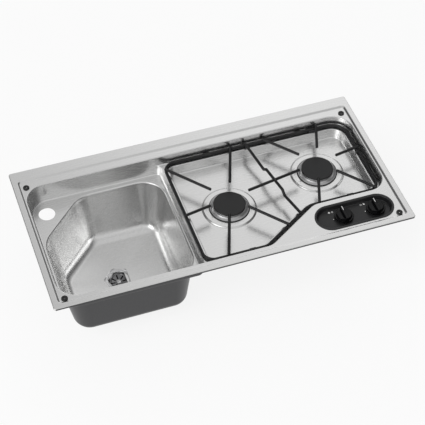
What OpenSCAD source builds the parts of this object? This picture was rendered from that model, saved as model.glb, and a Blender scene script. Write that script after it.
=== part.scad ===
// Built-in kitchenette unit: one stainless pressing with a sink bowl on the left
// and a two-burner gas hob with its controls on the right.
// Plan sizes are measured from the left, right, front or back edge of the rim.
// Depths are measured down from the top of the rim.

/* [Rim] */
// Length of the rim, left to right
rim_l = 860; // [840:5:900]
// Width of the rim, front to back
rim_w = 430; // [420:5:450]
// Height of the rim above the worktop
rim_h = 5; // [4.5:0.5:8]
// Radius of the rim's corners
rim_r = 5; // [3:0.5:9]
// Thickness of the stainless sheet
sheet_t = 1; // [0.6:0.1:1.2]
// Width of the flat band at the front, left and right
flat_w = 12.5; // [10:0.5:13]
// Width of the flat band at the back
flat_back_w = 30; // [26:1:36]
// Width of the slope from the flat band to the deck
slope_w = 6; // [4:0.5:6.5]
// Depth of the deck
deck_d = 3; // [2:0.5:3]
// Width of the seal under the rim
seal_w = 9; // [6:0.5:9]
// Fixing holes to the left and right edges
fixing_side = 30; // [28:0.5:31]
// Fixing holes to the front edge
fixing_front = 26; // [25:0.5:28]
// Fixing holes to the back edge
fixing_back = 54; // [45:1:58]
// Radius of the fixing screw's hole
fixing_r = 2.25; // [1.5:0.25:3]
// Radius of the grommet's head
grommet_r = 7.5; // [6:0.25:7.5]

/* [Recess] */
// Recess wall to the left and right edges
recess_side = 22; // [21.5:0.5:25]
// Recess wall to the front edge
recess_front = 27; // [26:0.5:30]
// Recess wall to the back edge
recess_back = 55.5; // [52:0.5:58]
// Corner radius of the recess
recess_r = 50; // [40:1:56]
// Control panel to the hob's wall behind it
control_gap = 14; // [11:1:20]
// Length of the slanted wall, left to right
slant_l = 135; // [128:1:142]
// How far the control panel reaches past the end of the slanted wall
slant_lap = 16; // [10:1:20]
// Corner radius of the slanted wall
slant_r = 40; // [30:1:45]
// How far a wall leans in for each unit of depth
wall_share = 0.12; // [0.08:0.01:0.14]
// Radius of the pressing's upper edges
lip_r = 3; // [2:0.25:3]
// Radius at the foot of the walls
foot_r = 4; // [2:0.5:4.5]

/* [Hob] */
// Depth of the ledge that carries the pan support
ledge_d = 27.5; // [24:0.5:30]
// Depth of the hob's floor and of the sink's deck
floor_d = 53; // [50:1:58]
// Left edge to the ridge between the sink and the hob, for each unit of the rim's length
ridge_share = 0.417; // [0.415:0.001:0.422]
// Radius of the ridge's edge on the sink side
ridge_r = 2; // [1.5:0.25:2.5]
// Radius of the corners beside the ridge
ridge_corner_r = 20; // [15:1:26]
// Centre line of the pan support's frame to the hob's well
well_gap = 9; // [8:0.5:11]
// Radius of the raised seat round each burner
seat_r = 66; // [60:1:70]
// Height of the raised seat
seat_h = 3; // [2:0.5:4]
// Width of the slope round the raised seat
seat_slope = 4; // [3:0.5:6]

/* [Sink] */
// Radius of the hole for the water tap
tap_hole_r = 19.5; // [15:0.5:20]
// Left edge to the centre of the water tap's hole
tap_hole_x = 63; // [60:0.5:66]
// Back edge to the centre of the water tap's hole
tap_hole_y = 104.5; // [100:0.5:108]
// Left edge to the bowl's wall
bowl_left = 36; // [36:0.5:40]
// Front edge to the bowl's wall
bowl_front = 43; // [42:0.5:46]
// Gap between the ridge and the bowl's wall
bowl_ridge_gap = 11; // [10.5:0.5:14]
// Gap between the recess's back wall and the bowl's wall
bowl_back_gap = 19; // [17:0.5:24]
// Length cut off the bowl's back left corner, along each side
bowl_cut = 114; // [104:1:118]
// Corner radius of the bowl
bowl_r = 58; // [52:1:62]
// Corner radius at the ends of the cut
bowl_cut_r = 70; // [60:1:80]
// Depth of the bowl at its wall
bowl_d = 182; // [170:1:190]
// How far the bowl's wall leans in for each unit of depth
bowl_share = 0.185; // [0.12:0.005:0.2]
// How far the bowl's floor lies to the right and behind the middle of its mouth
bowl_shift = [3, -10];
// Radius of the bowl's upper edge
mouth_r = 4; // [2.5:0.25:4]
// Depth of the weld below the sink's deck
weld_drop = 9; // [7:0.5:12]
// Radius at the foot of the bowl's walls
bowl_foot_r = 28; // [20:1:30]
// Fall of the bowl's floor to the waste
bowl_fall = 3; // [2:0.5:5]

/* [Waste] */
// Bowl's left and front walls to the centre of the waste, for each unit of the bowl
waste_shares = [0.494, 0.496];
// Radius of the waste flange
waste_r = 34; // [32:0.5:36]
// Radius of the hole in the bowl's floor
waste_hole_r = 26; // [25:0.5:27]
// Depth of the seat for the waste flange
waste_seat_d = 3; // [2:0.5:4]
// Depth of the strainer below its flange
strainer_d = 9; // [7:0.5:11]
// Number of slots in the strainer
slot_n = 8; // [6:1:10]
// Width of a strainer slot
slot_w = 3.2; // [2:0.2:3.4]
// Radius of the outlet spigot
spigot_r = 12.5; // [10:0.5:14]
// Length of the outlet spigot
spigot_l = 30; // [22:1:36]

/* [Burners] */
// Right edge to the centre of each burner, for each unit of the hob's length
burner_x_shares = [0.764, 0.285];
// Wall in front of each burner to its centre, for each unit up to the back wall
burner_y_shares = [0.517, 0.52];
// Radius of the burner's cap
cap_r = 38.5; // [37.5:0.25:40]
// Height of the burner's cap
cap_h = 4; // [3.5:0.25:5]
// Radius of the burner's base
base_r = 47; // [46:0.25:48]
// Radius of the hole in the raised seat
burner_hole_r = 36; // [35:0.25:37]
// Number of flame ports in the crown
port_n = 28; // [20:1:32]
// Width of a flame port
port_w = 1.8; // [1.2:0.1:2.2]
// Radius of the thermocouple's tip
probe_r = 2.2; // [1.8:0.1:2.4]
// Burner's centre to the thermocouple
probe_gap = 43; // [42.5:0.25:43.5]

/* [Pan support] */
// Radius of the pan support's wire
wire_r = 3.25; // [2.5:0.25:3.5]
// Height of the frame's centre line above the ledge
wire_z = 4.5; // [4:0.25:5]
// Recess wall to the frame's centre line at the front
wire_front_gap = 16.5; // [15:0.5:18]
// Recess wall to the frame's centre line at the back and right
wire_back_gap = 10; // [9:0.5:11]
// Ridge to the frame's centre line
wire_ridge_gap = 4.5; // [4:0.25:6]
// Radius of the frame's other corners, on the centre line
wire_bend_r = 26; // [20:1:30]
// Burner's centre to the tip of a prong
prong_gap = 51; // [46:0.5:56]
// Half the length of the dip in the middle bar
dip_half = 46; // [36:1:52]

/* [Controls] */
// Length of the control panel
panel_l = 194; // [186:1:198]
// Width of the control panel
panel_w = 76; // [72:1:78]
// Right edge to the end of the control panel
panel_x = 31; // [29:1:33]
// Front edge to the control panel
panel_y = 23; // [22:0.5:26]
// Depth of the control panel's well below the deck
panel_d = 10; // [9:0.5:12]
// Distance between the knobs
knob_gap = 80; // [76:1:90]
// End of the control panel to the middle of the two knobs
knob_x = 83; // [81:1:87]
// Radius of a knob's skirt
knob_r = 22.5; // [20:0.5:24]
// Height of a knob
knob_h = 15.5; // [13:0.5:18]
// Height of a knob's drum above its skirt
drum_h = 5.5; // [4:0.5:7]
// Width of a knob's grip
grip_w = 8; // [7:0.5:11]
// Number of teeth round a knob's skirt
tooth_n = 40; // [30:1:48]
// How far a knob can be pressed down
push_d = 3.5; // [2.5:0.25:4]
// Radius of a spindle
spindle_r = 4; // [3.5:0.25:4.5]

/* [Gas] */
// Outer radius of the gas pipes
pipe_r = 4; // [3:0.25:4]
// Wall of the gas pipes
pipe_t = 1; // [0.6:0.1:1.2]
// Radius of the pipes' bends
pipe_bend_r = 12; // [10:0.5:12]
// Outer radius of the gas rail
rail_r = 7.5; // [7:0.25:9]
// Length of the gas rail
rail_l = 134; // [130:1:138]
// Centre of the taps to the centre of the rail
rail_gap = 24; // [23:0.5:26]
// Length of the free end of the gas inlet
inlet_l = 26; // [20:1:34]

/* [Hidden] */
$fn = 64;

// Overrun of a cutting tool past the face that it cuts
cut = 1;
// Running clearance of a spindle in its tap
run_gap = 0.04;
// Loose clearance of parts that lift off or slip through a hole
loose_gap = 0.4;
// Gap left under a knob that is pressed down
press_gap = 1;
// Steps round a corner, round an upper edge and round a wall's foot
corner_steps = 6;
lip_steps = 3;
foot_steps = 3;
bowl_foot_steps = 6;

// Heights in the model, where the worktop is at zero
rim_z = rim_h;
deck_z = rim_z - deck_d;
ledge_z = rim_z - ledge_d;
floor_z = rim_z - floor_d;
weld_z = floor_z - weld_drop;
bowl_z = rim_z - bowl_d;
drain_z = bowl_z - bowl_fall;
seat_z = floor_z + seat_h;

// The origin is midway between the four fixing holes
fixing_dx = rim_l - 2 * fixing_side;
fixing_dy = rim_w - fixing_front - fixing_back;
left_x = -rim_l / 2;
right_x = rim_l / 2;
front_y = -fixing_dy / 2 - fixing_front;
back_y = front_y + rim_w;

// Outward normal of an edge of an outline that runs anticlockwise
function edge_normal(a, b) = [b.y - a.y, a.x - b.x] / norm(b - a);
function flat(p) = [p.x, p.y];
function step_angle(from, turn, i, steps) = from + turn * i / steps;
function polar(r, a) = [r * cos(a), r * sin(a)];

// Points round one corner of an outline of [x, y, radius], moved in by inset
function corner_points(before, here, after, inset) =
    let (n1 = edge_normal(flat(before), flat(here)))
    let (n2 = edge_normal(flat(here), flat(after)))
    let (turn = atan2(cross(n1, n2), n1 * n2))
    let (r = here.z * sign(turn))
    let (centre = flat(here) - r * (n1 + n2) / (1 + n1 * n2))
    [for (i = [0 : corner_steps])
        centre + polar(r - inset, step_angle(atan2(n1.y, n1.x), turn, i, corner_steps))];

function ring_points(outline, inset) =
    let (n = len(outline))
    [for (i = [0 : n - 1])
        each corner_points(outline[(i + n - 1) % n], outline[i], outline[(i + 1) % n], inset)];

function at_height(points, z) = [for (p = points) [p.x, p.y, z]];

// Solid through rings of equally many points, from the top ring down
module stack(rings) {
    n = len(rings[0]);
    last = (len(rings) - 1) * n;
    sides = [for (k = [0 : len(rings) - 2], i = [0 : n - 1])
        [k * n + i, k * n + (i + 1) % n, (k + 1) * n + (i + 1) % n, (k + 1) * n + i]];
    top = [for (i = [n - 1 : -1 : 0]) i];
    bottom = [for (i = [0 : n - 1]) last + i];
    polyhedron(points = [for (ring = rings) each ring], faces = concat([top], sides, [bottom]));
}

// Solid with an outline's shape, through a profile of [inset, height] pairs
module loft(outline, profile) {
    stack([for (p = profile) at_height(ring_points(outline, p[0]), p[1])]);
}

module prism(outline, inset, low, high) {
    translate([0, 0, low])
        linear_extrude(high - low)
            polygon(ring_points(outline, inset));
}

// Profile of a rounded upper edge; grow is the sheet's thickness for its outside
function lip_profile(top, lean, r, grow) =
    let (a = atan(lean))
    let (middle = lean * r - r / cos(a))
    [for (i = [0 : lip_steps])
        let (p = polar(r - grow, step_angle(90, a - 90, i, lip_steps)))
        [middle + p.x, top - r + p.y]];

// Profile of a wall's rounded foot
function foot_profile(top, low, lean, r, grow, steps) =
    let (a = atan(lean))
    let (middle = lean * (top - low - r) + r / cos(a))
    [for (i = [0 : steps])
        let (p = polar(r + grow, step_angle(a, 90 - a, i, steps)))
        [middle - p.x, low + r - p.y]];

function pocket_profile(top, low, edge_r, grow) =
    let (lip = lip_profile(top, wall_share, edge_r, grow))
    concat(
        [[lip[0][0], grow > 0 ? top : top + cut]],
        lip,
        foot_profile(top, low, wall_share, foot_r, grow, foot_steps)
    );

// Where two neighbouring edges of an outline meet after each has moved in
function shifted_corner(before, here, after, d1, d2, r) =
    let (n1 = edge_normal(flat(before), flat(here)))
    let (n2 = edge_normal(flat(here), flat(after)))
    let (c1 = n1 * flat(here) - d1)
    let (c2 = n2 * flat(here) - d2)
    [(c1 * n2.y - c2 * n1.y) / cross(n1, n2), (n1.x * c2 - n2.x * c1) / cross(n1, n2), r];

// Outline with edge i, from point i to the next, moved in by shifts[i]
function shifted_outline(outline, shifts, radii) =
    let (n = len(outline))
    [for (i = [0 : n - 1])
        shifted_corner(outline[(i + n - 1) % n], outline[i], outline[(i + 1) % n],
            shifts[(i + n - 1) % n], shifts[i], radii[i])];

function box_outline(x1, y1, x2, y2, r) = [[x1, y1, r], [x2, y1, r], [x2, y2, r], [x1, y2, r]];

// Outlines, anticlockwise from the front left corner
wall_left = left_x + recess_side;
wall_right = right_x - recess_side;
wall_front = front_y + recess_front;
wall_back = back_y - recess_back;
panel_left = right_x - panel_x - panel_l;
slant_right = panel_left + slant_lap;
control_back = front_y + panel_y + panel_w + control_gap;
rim_outline = box_outline(left_x, front_y, right_x, back_y, rim_r);
slope_outline = box_outline(
    left_x + flat_w, front_y + flat_w, right_x - flat_w, back_y - flat_back_w, slope_w + foot_r);
recess_outline = [
    [wall_left, wall_front, recess_r],
    [slant_right - slant_l, wall_front, slant_r],
    [slant_right, control_back, slant_r],
    [wall_right, control_back, slant_r],
    [wall_right, wall_back, recess_r],
    [wall_left, wall_back, recess_r],
];
seal_in = sheet_t + seal_w;
seal_outline = box_outline(left_x + seal_in, front_y + seal_in, right_x - seal_in, back_y - seal_in, rim_r);
ridge_left = left_x + ridge_share * rim_l;
sink_right = ridge_left + wall_share * (deck_z - ledge_z);
sink_outline = [
    [wall_left, wall_front, recess_r],
    [sink_right, wall_front, ridge_corner_r],
    [sink_right, wall_back, ridge_corner_r],
    [wall_left, wall_back, recess_r],
];
wire_left_shift = ridge_left + wire_ridge_gap - wall_left;
wire_back_r = recess_r - wire_back_gap;
wire_outline = shifted_outline(
    recess_outline,
    [wire_front_gap, wire_front_gap, wire_front_gap, wire_back_gap, wire_back_gap, wire_left_shift],
    [wire_bend_r, slant_r - wire_front_gap, slant_r + wire_front_gap,
        wire_bend_r, wire_back_r, wire_bend_r]);
well_outline = shifted_outline(
    wire_outline,
    [for (i = [0 : 5]) well_gap],
    [wire_bend_r - well_gap, slant_r - wire_front_gap - well_gap, slant_r + wire_front_gap + well_gap,
        wire_bend_r - well_gap, wire_back_r - well_gap, wire_bend_r - well_gap]);
bowl_x1 = left_x + bowl_left;
bowl_x2 = ridge_left - bowl_ridge_gap;
bowl_y1 = front_y + bowl_front;
bowl_y2 = wall_back - bowl_back_gap;
bowl_outline = [
    [bowl_x1, bowl_y1, bowl_r],
    [bowl_x2, bowl_y1, bowl_r],
    [bowl_x2, bowl_y2, bowl_r],
    [bowl_x1 + bowl_cut, bowl_y2, bowl_cut_r],
    [bowl_x1, bowl_y2 - bowl_cut, bowl_cut_r],
];

// Centres
waste_at = bowl_shift
    + [bowl_x1 + waste_shares.x * (bowl_x2 - bowl_x1), bowl_y1 + waste_shares.y * (bowl_y2 - bowl_y1)];
tap_hole_at = [left_x + tap_hole_x, back_y - tap_hole_y];
panel_at = [panel_left + panel_l / 2, front_y + panel_y + panel_w / 2];
burner_walls = [wall_front, control_back];
burners = [for (i = [0 : 1]) [
    right_x - burner_x_shares[i] * (right_x - ridge_left),
    burner_walls[i] + burner_y_shares[i] * (wall_back - burner_walls[i])]];
knobs = [for (side = [-1, 1]) [right_x - panel_x - knob_x + side * knob_gap / 2, panel_at.y]];
fixings = [for (x = [-1, 1], y = [-1, 1]) [x * fixing_dx / 2, y * fixing_dy / 2]];
bar_angle = atan2(burners[1].y - burners[0].y, burners[1].x - burners[0].x);
burner_span = norm(burners[1] - burners[0]);

// Grommets
grommet_neck_r = 4.5;
grommet_top_h = 3;
grommet_edge_r = 1;

module rim_shell() {
    difference() {
        prism(rim_outline, 0, 0, rim_z);
        prism(rim_outline, sheet_t, -cut, rim_z - sheet_t);
    }
    loft(slope_outline, [[0, rim_z], [0, rim_z - sheet_t], [slope_w, deck_z - sheet_t]]);
}

module rim_seal() {
    color("dimgray")
        difference() {
            prism(rim_outline, sheet_t, 0, rim_z - sheet_t);
            prism(seal_outline, 0, -cut, rim_z);
        }
}

module grommet() {
    difference() {
        union() {
            rotate_extrude() {
                square([grommet_r, grommet_top_h - grommet_edge_r]);
                square([grommet_r - grommet_edge_r, grommet_top_h]);
                translate([grommet_r - grommet_edge_r, grommet_top_h - grommet_edge_r])
                    circle(grommet_edge_r);
            }
            translate([0, 0, -sheet_t])
                cylinder(h = sheet_t, r = grommet_neck_r);
            translate([0, 0, -deck_z])
                cylinder(h = deck_z - sheet_t, r = grommet_r - grommet_edge_r);
        }
        translate([0, 0, -deck_z - cut])
            cylinder(h = deck_z + grommet_top_h + 2 * cut, r = fixing_r);
    }
}

module corner_grommets() {
    color("#1c1c1c")
        for (p = fixings)
            translate([p.x, p.y, deck_z])
                grommet();
}

// Pressing
module mouth(grow) {
    lip = lip_profile(floor_z, bowl_share, mouth_r, grow);
    end_inset = bowl_share * weld_drop - grow / cos(atan(bowl_share));
    loft(bowl_outline, concat(
        [[lip[0][0], grow > 0 ? floor_z : floor_z + cut]],
        lip,
        [[end_inset, weld_z]],
        grow > 0 ? [] : [[end_inset, weld_z - cut]]
    ));
}

module ridge_edge() {
    lip = lip_profile(ledge_z, wall_share, ridge_r, 0);
    inset = wall_share * (deck_z - ledge_z);
    intersection() {
        loft(sink_outline, concat(
            [[inset + lip[0][0], ledge_z + cut]],
            [for (p = lip) [inset + p[0], p[1]]],
            [[inset + foot_r, ledge_z - ridge_r]]
        ));
        prism(recess_outline, inset + wall_share * ridge_r, ledge_z - ridge_r - cut, ledge_z + 2 * cut);
    }
}

// Pocket cut off level at its floor, so that the floor is one flat face
module pocket(outline, top, low, edge_r, grow) {
    profile = pocket_profile(top, low, edge_r, grow);
    end = profile[len(profile) - 1];
    intersection() {
        loft(outline, concat(profile, [[end[0], end[1] - cut]]));
        prism(rim_outline, 0, end[1], rim_z);
    }
}

module pressing_pockets(grow) {
    pocket(recess_outline, deck_z, ledge_z, lip_r, grow);
    pocket(sink_outline, deck_z, floor_z, lip_r, grow);
    pocket(well_outline, ledge_z, floor_z, ridge_r, grow);
}

module burner_seat() {
    r = seat_r;
    rotate_extrude()
        polygon([
            [burner_hole_r, seat_z - sheet_t],
            [r - seat_slope, seat_z - sheet_t],
            [r, floor_z - sheet_t],
            [r + sheet_t, floor_z - sheet_t],
            [r + sheet_t, floor_z],
            [r, floor_z],
            [r - seat_slope, seat_z],
            [burner_hole_r, seat_z],
        ]);
}

module panel_hole(l, w, low, high) {
    translate([0, 0, low]) {
        for (side = [-1, 1])
            translate([side * (l - w) / 2, 0, 0])
                cylinder(h = high - low, d = w);
        translate([(w - l) / 2, -w / 2, 0])
            cube([l - w, w, high - low]);
    }
}

module top_pressing() {
    color("silver")
        difference() {
            union() {
                difference() {
                    union() {
                        rim_shell();
                        pressing_pockets(sheet_t);
                        mouth(sheet_t);
                    }
                    loft(slope_outline, [[0, rim_z + cut], [0, rim_z], [slope_w, deck_z]]);
                    pressing_pockets(0);
                    ridge_edge();
                    mouth(0);
                    for (p = burners)
                        translate([p.x, p.y, floor_z - sheet_t - cut])
                            cylinder(h = sheet_t + 2 * cut, r = seat_r);
                }
                for (p = burners)
                    translate([p.x, p.y, 0])
                        burner_seat();
            }
            for (i = [0 : 1])
                translate(concat(burners[i], 0))
                    probe_hole(i, seat_z - sheet_t - cut, seat_z + cut);
            translate([tap_hole_at.x, tap_hole_at.y, floor_z - sheet_t - cut])
                cylinder(h = sheet_t + 2 * cut, r = tap_hole_r);
            translate(concat(panel_at, 0))
                panel_hole(panel_l - 2 * panel_lap, panel_w - 2 * panel_lap, deck_z - sheet_t - cut, deck_z + cut);
            for (p = fixings)
                translate([p.x, p.y, deck_z - sheet_t - cut])
                    cylinder(h = sheet_t + 2 * cut, r = grommet_neck_r);
        }
}

// Bowl
fall_share = 0.5;
function toward(points, target, share) = [for (p = points) p + (target - p) * share];

// Points of the bowl's outline, shifted more and more from the weld down to the floor
function bowl_points(inset, z) =
    [for (p = ring_points(bowl_outline, inset)) p + bowl_shift * (weld_z - z) / (weld_z - bowl_z)];

module bowl_solid(grow) {
    lean = grow / cos(atan(bowl_share));
    start = bowl_share * weld_drop - lean;
    foot = foot_profile(floor_z, bowl_z, bowl_share, bowl_foot_r, grow, bowl_foot_steps);
    inner = bowl_points(foot[bowl_foot_steps][0], bowl_z);
    stack(concat(
        grow > 0 ? [] : [at_height(ring_points(bowl_outline, start), weld_z + cut)],
        [at_height(ring_points(bowl_outline, start), weld_z)],
        [for (p = foot) at_height(bowl_points(p[0], p[1]), p[1])],
        [at_height(toward(inner, waste_at, fall_share), drain_z - grow)]
    ));
}

waste_seat_r = waste_r + loose_gap;
flange_z = drain_z - waste_seat_d;

module sink_bowl() {
    color("lightgray")
        difference() {
            union() {
                difference() {
                    bowl_solid(sheet_t);
                    bowl_solid(0);
                }
                translate([waste_at.x, waste_at.y, flange_z - sheet_t])
                    cylinder(h = waste_seat_d + sheet_t, r = waste_seat_r + sheet_t);
            }
            translate([waste_at.x, waste_at.y, flange_z])
                cylinder(h = waste_seat_d + cut, r = waste_seat_r);
            translate([waste_at.x, waste_at.y, flange_z - sheet_t - cut])
                cylinder(h = sheet_t + 2 * cut, r = waste_hole_r);
        }
}

// Waste
flange_t = 1.5;
bead_r = 1.5;
strainer_t = 1.2;
slot_in = 8;
slot_out = 19;
screw_r = 3;
screw_head_r = 6;
screw_head_h = 3;
screw_l = 30;
body_wall = 2.5;
body_flange_r = 35;
body_flange_t = 4;
body_d = 20;
funnel_d = 10;
waste_gasket_t = 2;
boss_r = 6;
rib_t = 2.5;
strainer_z = flange_z - strainer_d;
body_z = flange_z - sheet_t - waste_gasket_t;
cup_r = waste_hole_r - loose_gap;

module waste_flange() {
    color("silver")
        translate([waste_at.x, waste_at.y, 0])
            difference() {
                rotate_extrude() {
                    polygon([
                        [cup_r - strainer_t, flange_z + flange_t],
                        [cup_r - strainer_t, strainer_z + strainer_t],
                        [screw_r, strainer_z + strainer_t],
                        [screw_r, strainer_z],
                        [cup_r, strainer_z],
                        [cup_r, flange_z],
                        [waste_r - bead_r, flange_z],
                        [waste_r - bead_r, flange_z + 2 * bead_r],
                    ]);
                    translate([waste_r - bead_r, flange_z + bead_r])
                        circle(bead_r);
                }
                for (i = [0 : slot_n - 1])
                    rotate(360 * i / slot_n)
                        strainer_slot();
            }
}

module strainer_slot() {
    translate([slot_in, -slot_w / 2, strainer_z - cut])
        cube([slot_out - slot_in, slot_w, strainer_t + 2 * cut]);
    for (x = [slot_in, slot_out])
        translate([x, 0, strainer_z - cut])
            cylinder(h = strainer_t + 2 * cut, d = slot_w);
}

module waste_gasket() {
    color("#202020")
        translate([waste_at.x, waste_at.y, body_z])
            difference() {
                cylinder(h = waste_gasket_t, r = body_flange_r);
                translate([0, 0, -cut])
                    cylinder(h = waste_gasket_t + 2 * cut, r = waste_hole_r);
            }
}

module waste_body() {
    wide = waste_hole_r + body_wall;
    low = body_z - body_d;
    tip = low - funnel_d;
    color("#2a2a2a")
        translate([waste_at.x, waste_at.y, 0]) {
            rotate_extrude()
                polygon([
                    [waste_hole_r, body_z],
                    [body_flange_r, body_z],
                    [body_flange_r, body_z - body_flange_t],
                    [wide, body_z - body_flange_t],
                    [wide, low],
                    [spigot_r, tip],
                    [spigot_r, tip - spigot_l],
                    [spigot_r - body_wall, tip - spigot_l],
                    [spigot_r - body_wall, tip + body_wall],
                    [waste_hole_r, low],
                ]);
            difference() {
                union() {
                    translate([0, 0, low])
                        cylinder(h = body_d - strainer_d, r = boss_r);
                    for (a = [0, 90])
                        rotate(a)
                            translate([-waste_hole_r, -rib_t / 2, low])
                                cube([2 * waste_hole_r, rib_t, body_d - strainer_d]);
                }
                translate([0, 0, low - cut])
                    cylinder(h = body_d + cut, r = screw_r);
            }
        }
}

module waste_screw() {
    top = strainer_z + strainer_t;
    slit = screw_head_h / 2;
    color("silver")
        translate([waste_at.x, waste_at.y, 0])
            difference() {
                union() {
                    translate([0, 0, top])
                        cylinder(h = screw_head_h, r1 = screw_head_r, r2 = screw_head_r - slit);
                    translate([0, 0, top - screw_l])
                        cylinder(h = screw_l, r = screw_r);
                }
                translate([-screw_head_r - cut, -slit / 2, top + slit])
                    cube([2 * screw_head_r + 2 * cut, slit, screw_head_h]);
            }
}

// Control panel
panel_lap = 4;
panel_t = 2;
panel_edge_h = 1.6;
panel_lean = 2.5;
panel_z = deck_z - panel_d;
panel_low_z = panel_z - panel_t;
neck_r = 6;
tap_screw_gap = 17;
tap_screw_r = 1.9;
tap_screw_head_r = 3.6;
tap_screw_l = 9;
tap_flange_w = 15;
tap_flange_t = 5;

// A tapered obround, narrower at the bottom
module tapered_obround(l, w, taper, low, high) {
    h = high - low;
    for (side = [-1, 1])
        translate([side * (l - w) / 2, 0, low])
            cylinder(h = h, r1 = w / 2 - taper, r2 = w / 2);
    translate([(w - l) / 2, 0, low])
        rotate([90, 0, 90])
            linear_extrude(l - w)
                polygon([[taper - w / 2, 0], [w / 2 - taper, 0], [w / 2, h], [-w / 2, h]]);
}

module control_panel() {
    well_l = panel_l - 2 * panel_lap - 2 * loose_gap;
    well_w = panel_w - 2 * panel_lap - 2 * loose_gap;
    top = deck_z + panel_edge_h;
    color("#2e2e30")
        difference() {
            translate(concat(panel_at, 0))
                difference() {
                    union() {
                        panel_hole(panel_l, panel_w, deck_z, top);
                        tapered_obround(well_l, well_w, panel_lean, panel_low_z, deck_z);
                    }
                    tapered_obround(well_l - 2 * panel_t, well_w - 2 * panel_t, panel_lean,
                        panel_z, top + cut);
                }
            for (p = knobs)
                translate([p.x, p.y, panel_low_z]) {
                    translate([0, 0, -cut])
                        cylinder(h = panel_t + 2 * cut, r = neck_r + loose_gap);
                    for (side = [-1, 1])
                        translate([side * tap_screw_gap, 0, 0]) {
                            translate([0, 0, -cut])
                                cylinder(h = panel_t + cut, r = tap_screw_r);
                            cylinder(h = panel_t, r1 = tap_screw_r, r2 = tap_screw_head_r);
                            translate([0, 0, panel_t])
                                cylinder(h = cut, r = tap_screw_head_r);
                        }
                }
        }
}

module tap_screws() {
    color("silver")
        for (p = knobs, side = [-1, 1])
            translate([p.x + side * tap_screw_gap, p.y, panel_low_z]) {
                difference() {
                    cylinder(h = panel_t, r1 = tap_screw_r, r2 = tap_screw_head_r);
                    for (a = [0, 90])
                        rotate(a)
                            translate([-tap_screw_r, -panel_t / 4, panel_t / 2])
                                cube([2 * tap_screw_r, panel_t / 2, panel_t]);
                }
                translate([0, 0, panel_t - tap_screw_l])
                    cylinder(h = tap_screw_l - panel_t, r = tap_screw_r);
            }
}

// Gas taps: each has a bore for its spindle and a narrower one for its push rod
tap_r = 13;
tap_h = 30;
neck_h = 0.5;
bore_d = 24;
rod_r = 1.6;
rod_disc_t = 2;
rod_l = 4;
rod_play = 0.3;
outlet_gap = 7;
outlet_r = 5.5;
outlet_h = 7;
probe_boss_r = 4.5;
probe_boss_h = 6;
inlet_boss_r = 9;
tap_top = panel_low_z;
tap_low = tap_top - tap_h;
rod_z = tap_top - bore_d + push_d + rod_play + rod_disc_t;
rail_z = tap_top - tap_h / 2;

module tap(i) {
    p = knobs[i];
    bore_low = tap_top - bore_d;
    deep_low = rod_z - rod_disc_t - rod_l - push_d - rod_play;
    color("#c9c4b4")
        difference() {
            translate([p.x, p.y, 0]) {
                translate([0, 0, tap_low])
                    cylinder(h = tap_h, r = tap_r);
                translate([0, 0, tap_top])
                    cylinder(h = panel_t + neck_h, r = neck_r);
                panel_hole(2 * tap_screw_gap + tap_flange_w, tap_flange_w, tap_top - tap_flange_t, tap_top);
                translate([0, 0, rail_z])
                    rotate([-90, 0, 0])
                        cylinder(h = rail_gap, r = inlet_boss_r);
                translate([outlet_gap, 0, tap_low - outlet_h])
                    cylinder(h = outlet_h + cut, r = outlet_r);
                translate([-outlet_gap, 0, tap_low - probe_boss_h])
                    cylinder(h = probe_boss_h + cut, r = probe_boss_r);
            }
            translate([p.x, p.y, bore_low])
                cylinder(h = bore_d + panel_t + neck_h + cut, r = spindle_r + run_gap);
            translate([p.x, p.y, deep_low])
                cylinder(h = bore_d, r = rod_r + run_gap);
            for (side = [-1, 1])
                translate([p.x + side * tap_screw_gap, p.y, tap_top - tap_flange_t - cut])
                    cylinder(h = tap_flange_t + 2 * cut, r = tap_screw_r);
            translate([p.x - tap_r - cut, p.y + rail_gap, rail_z])
                rotate([0, 90, 0])
                    cylinder(h = 2 * tap_r + 2 * cut, r = rail_r);
            translate([p.x + outlet_gap, p.y, tap_low - outlet_h - cut])
                cylinder(h = outlet_h, r = pipe_r);
            translate([p.x - outlet_gap, p.y, tap_low - probe_boss_h - cut])
                cylinder(h = probe_boss_h, r = lead_r);
        }
}

module tap_1() { tap(0); }
module tap_2() { tap(1); }

module push_rod(i) {
    p = knobs[i];
    color("gold")
        translate([p.x, p.y, rod_z - rod_disc_t]) {
            cylinder(h = rod_disc_t, r = spindle_r - run_gap);
            translate([0, 0, -rod_l])
                cylinder(h = rod_l, r = rod_r);
        }
}

module push_rod_1() { push_rod(0); }
module push_rod_2() { push_rod(1); }

// Spindles and knobs
skirt_gap = push_d + press_gap;
skirt_t = 3.5;
tooth_d = 1;
drum_r = 18.5;
drum_taper = 1;
grip_front = 21;
grip_back = 18;
flat_cut = 1;
spindle_top = panel_z + skirt_gap + skirt_t + drum_h;
skirt_z = panel_z + skirt_gap;
hollow_r1 = 7.5;
hollow_r2 = 16;
hollow_d = 5;

module spindle(i) {
    color("lightgray")
        translate([knobs[i].x, knobs[i].y, 0])
            difference() {
                translate([0, 0, rod_z])
                    cylinder(h = spindle_top - rod_z, r = spindle_r);
                translate([-spindle_r - cut, spindle_r - flat_cut, skirt_z - cut])
                    cube([2 * spindle_r + 2 * cut, spindle_r, spindle_top - skirt_z + 2 * cut]);
            }
}

module spindle_1() { spindle(0); }
module spindle_2() { spindle(1); }

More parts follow.
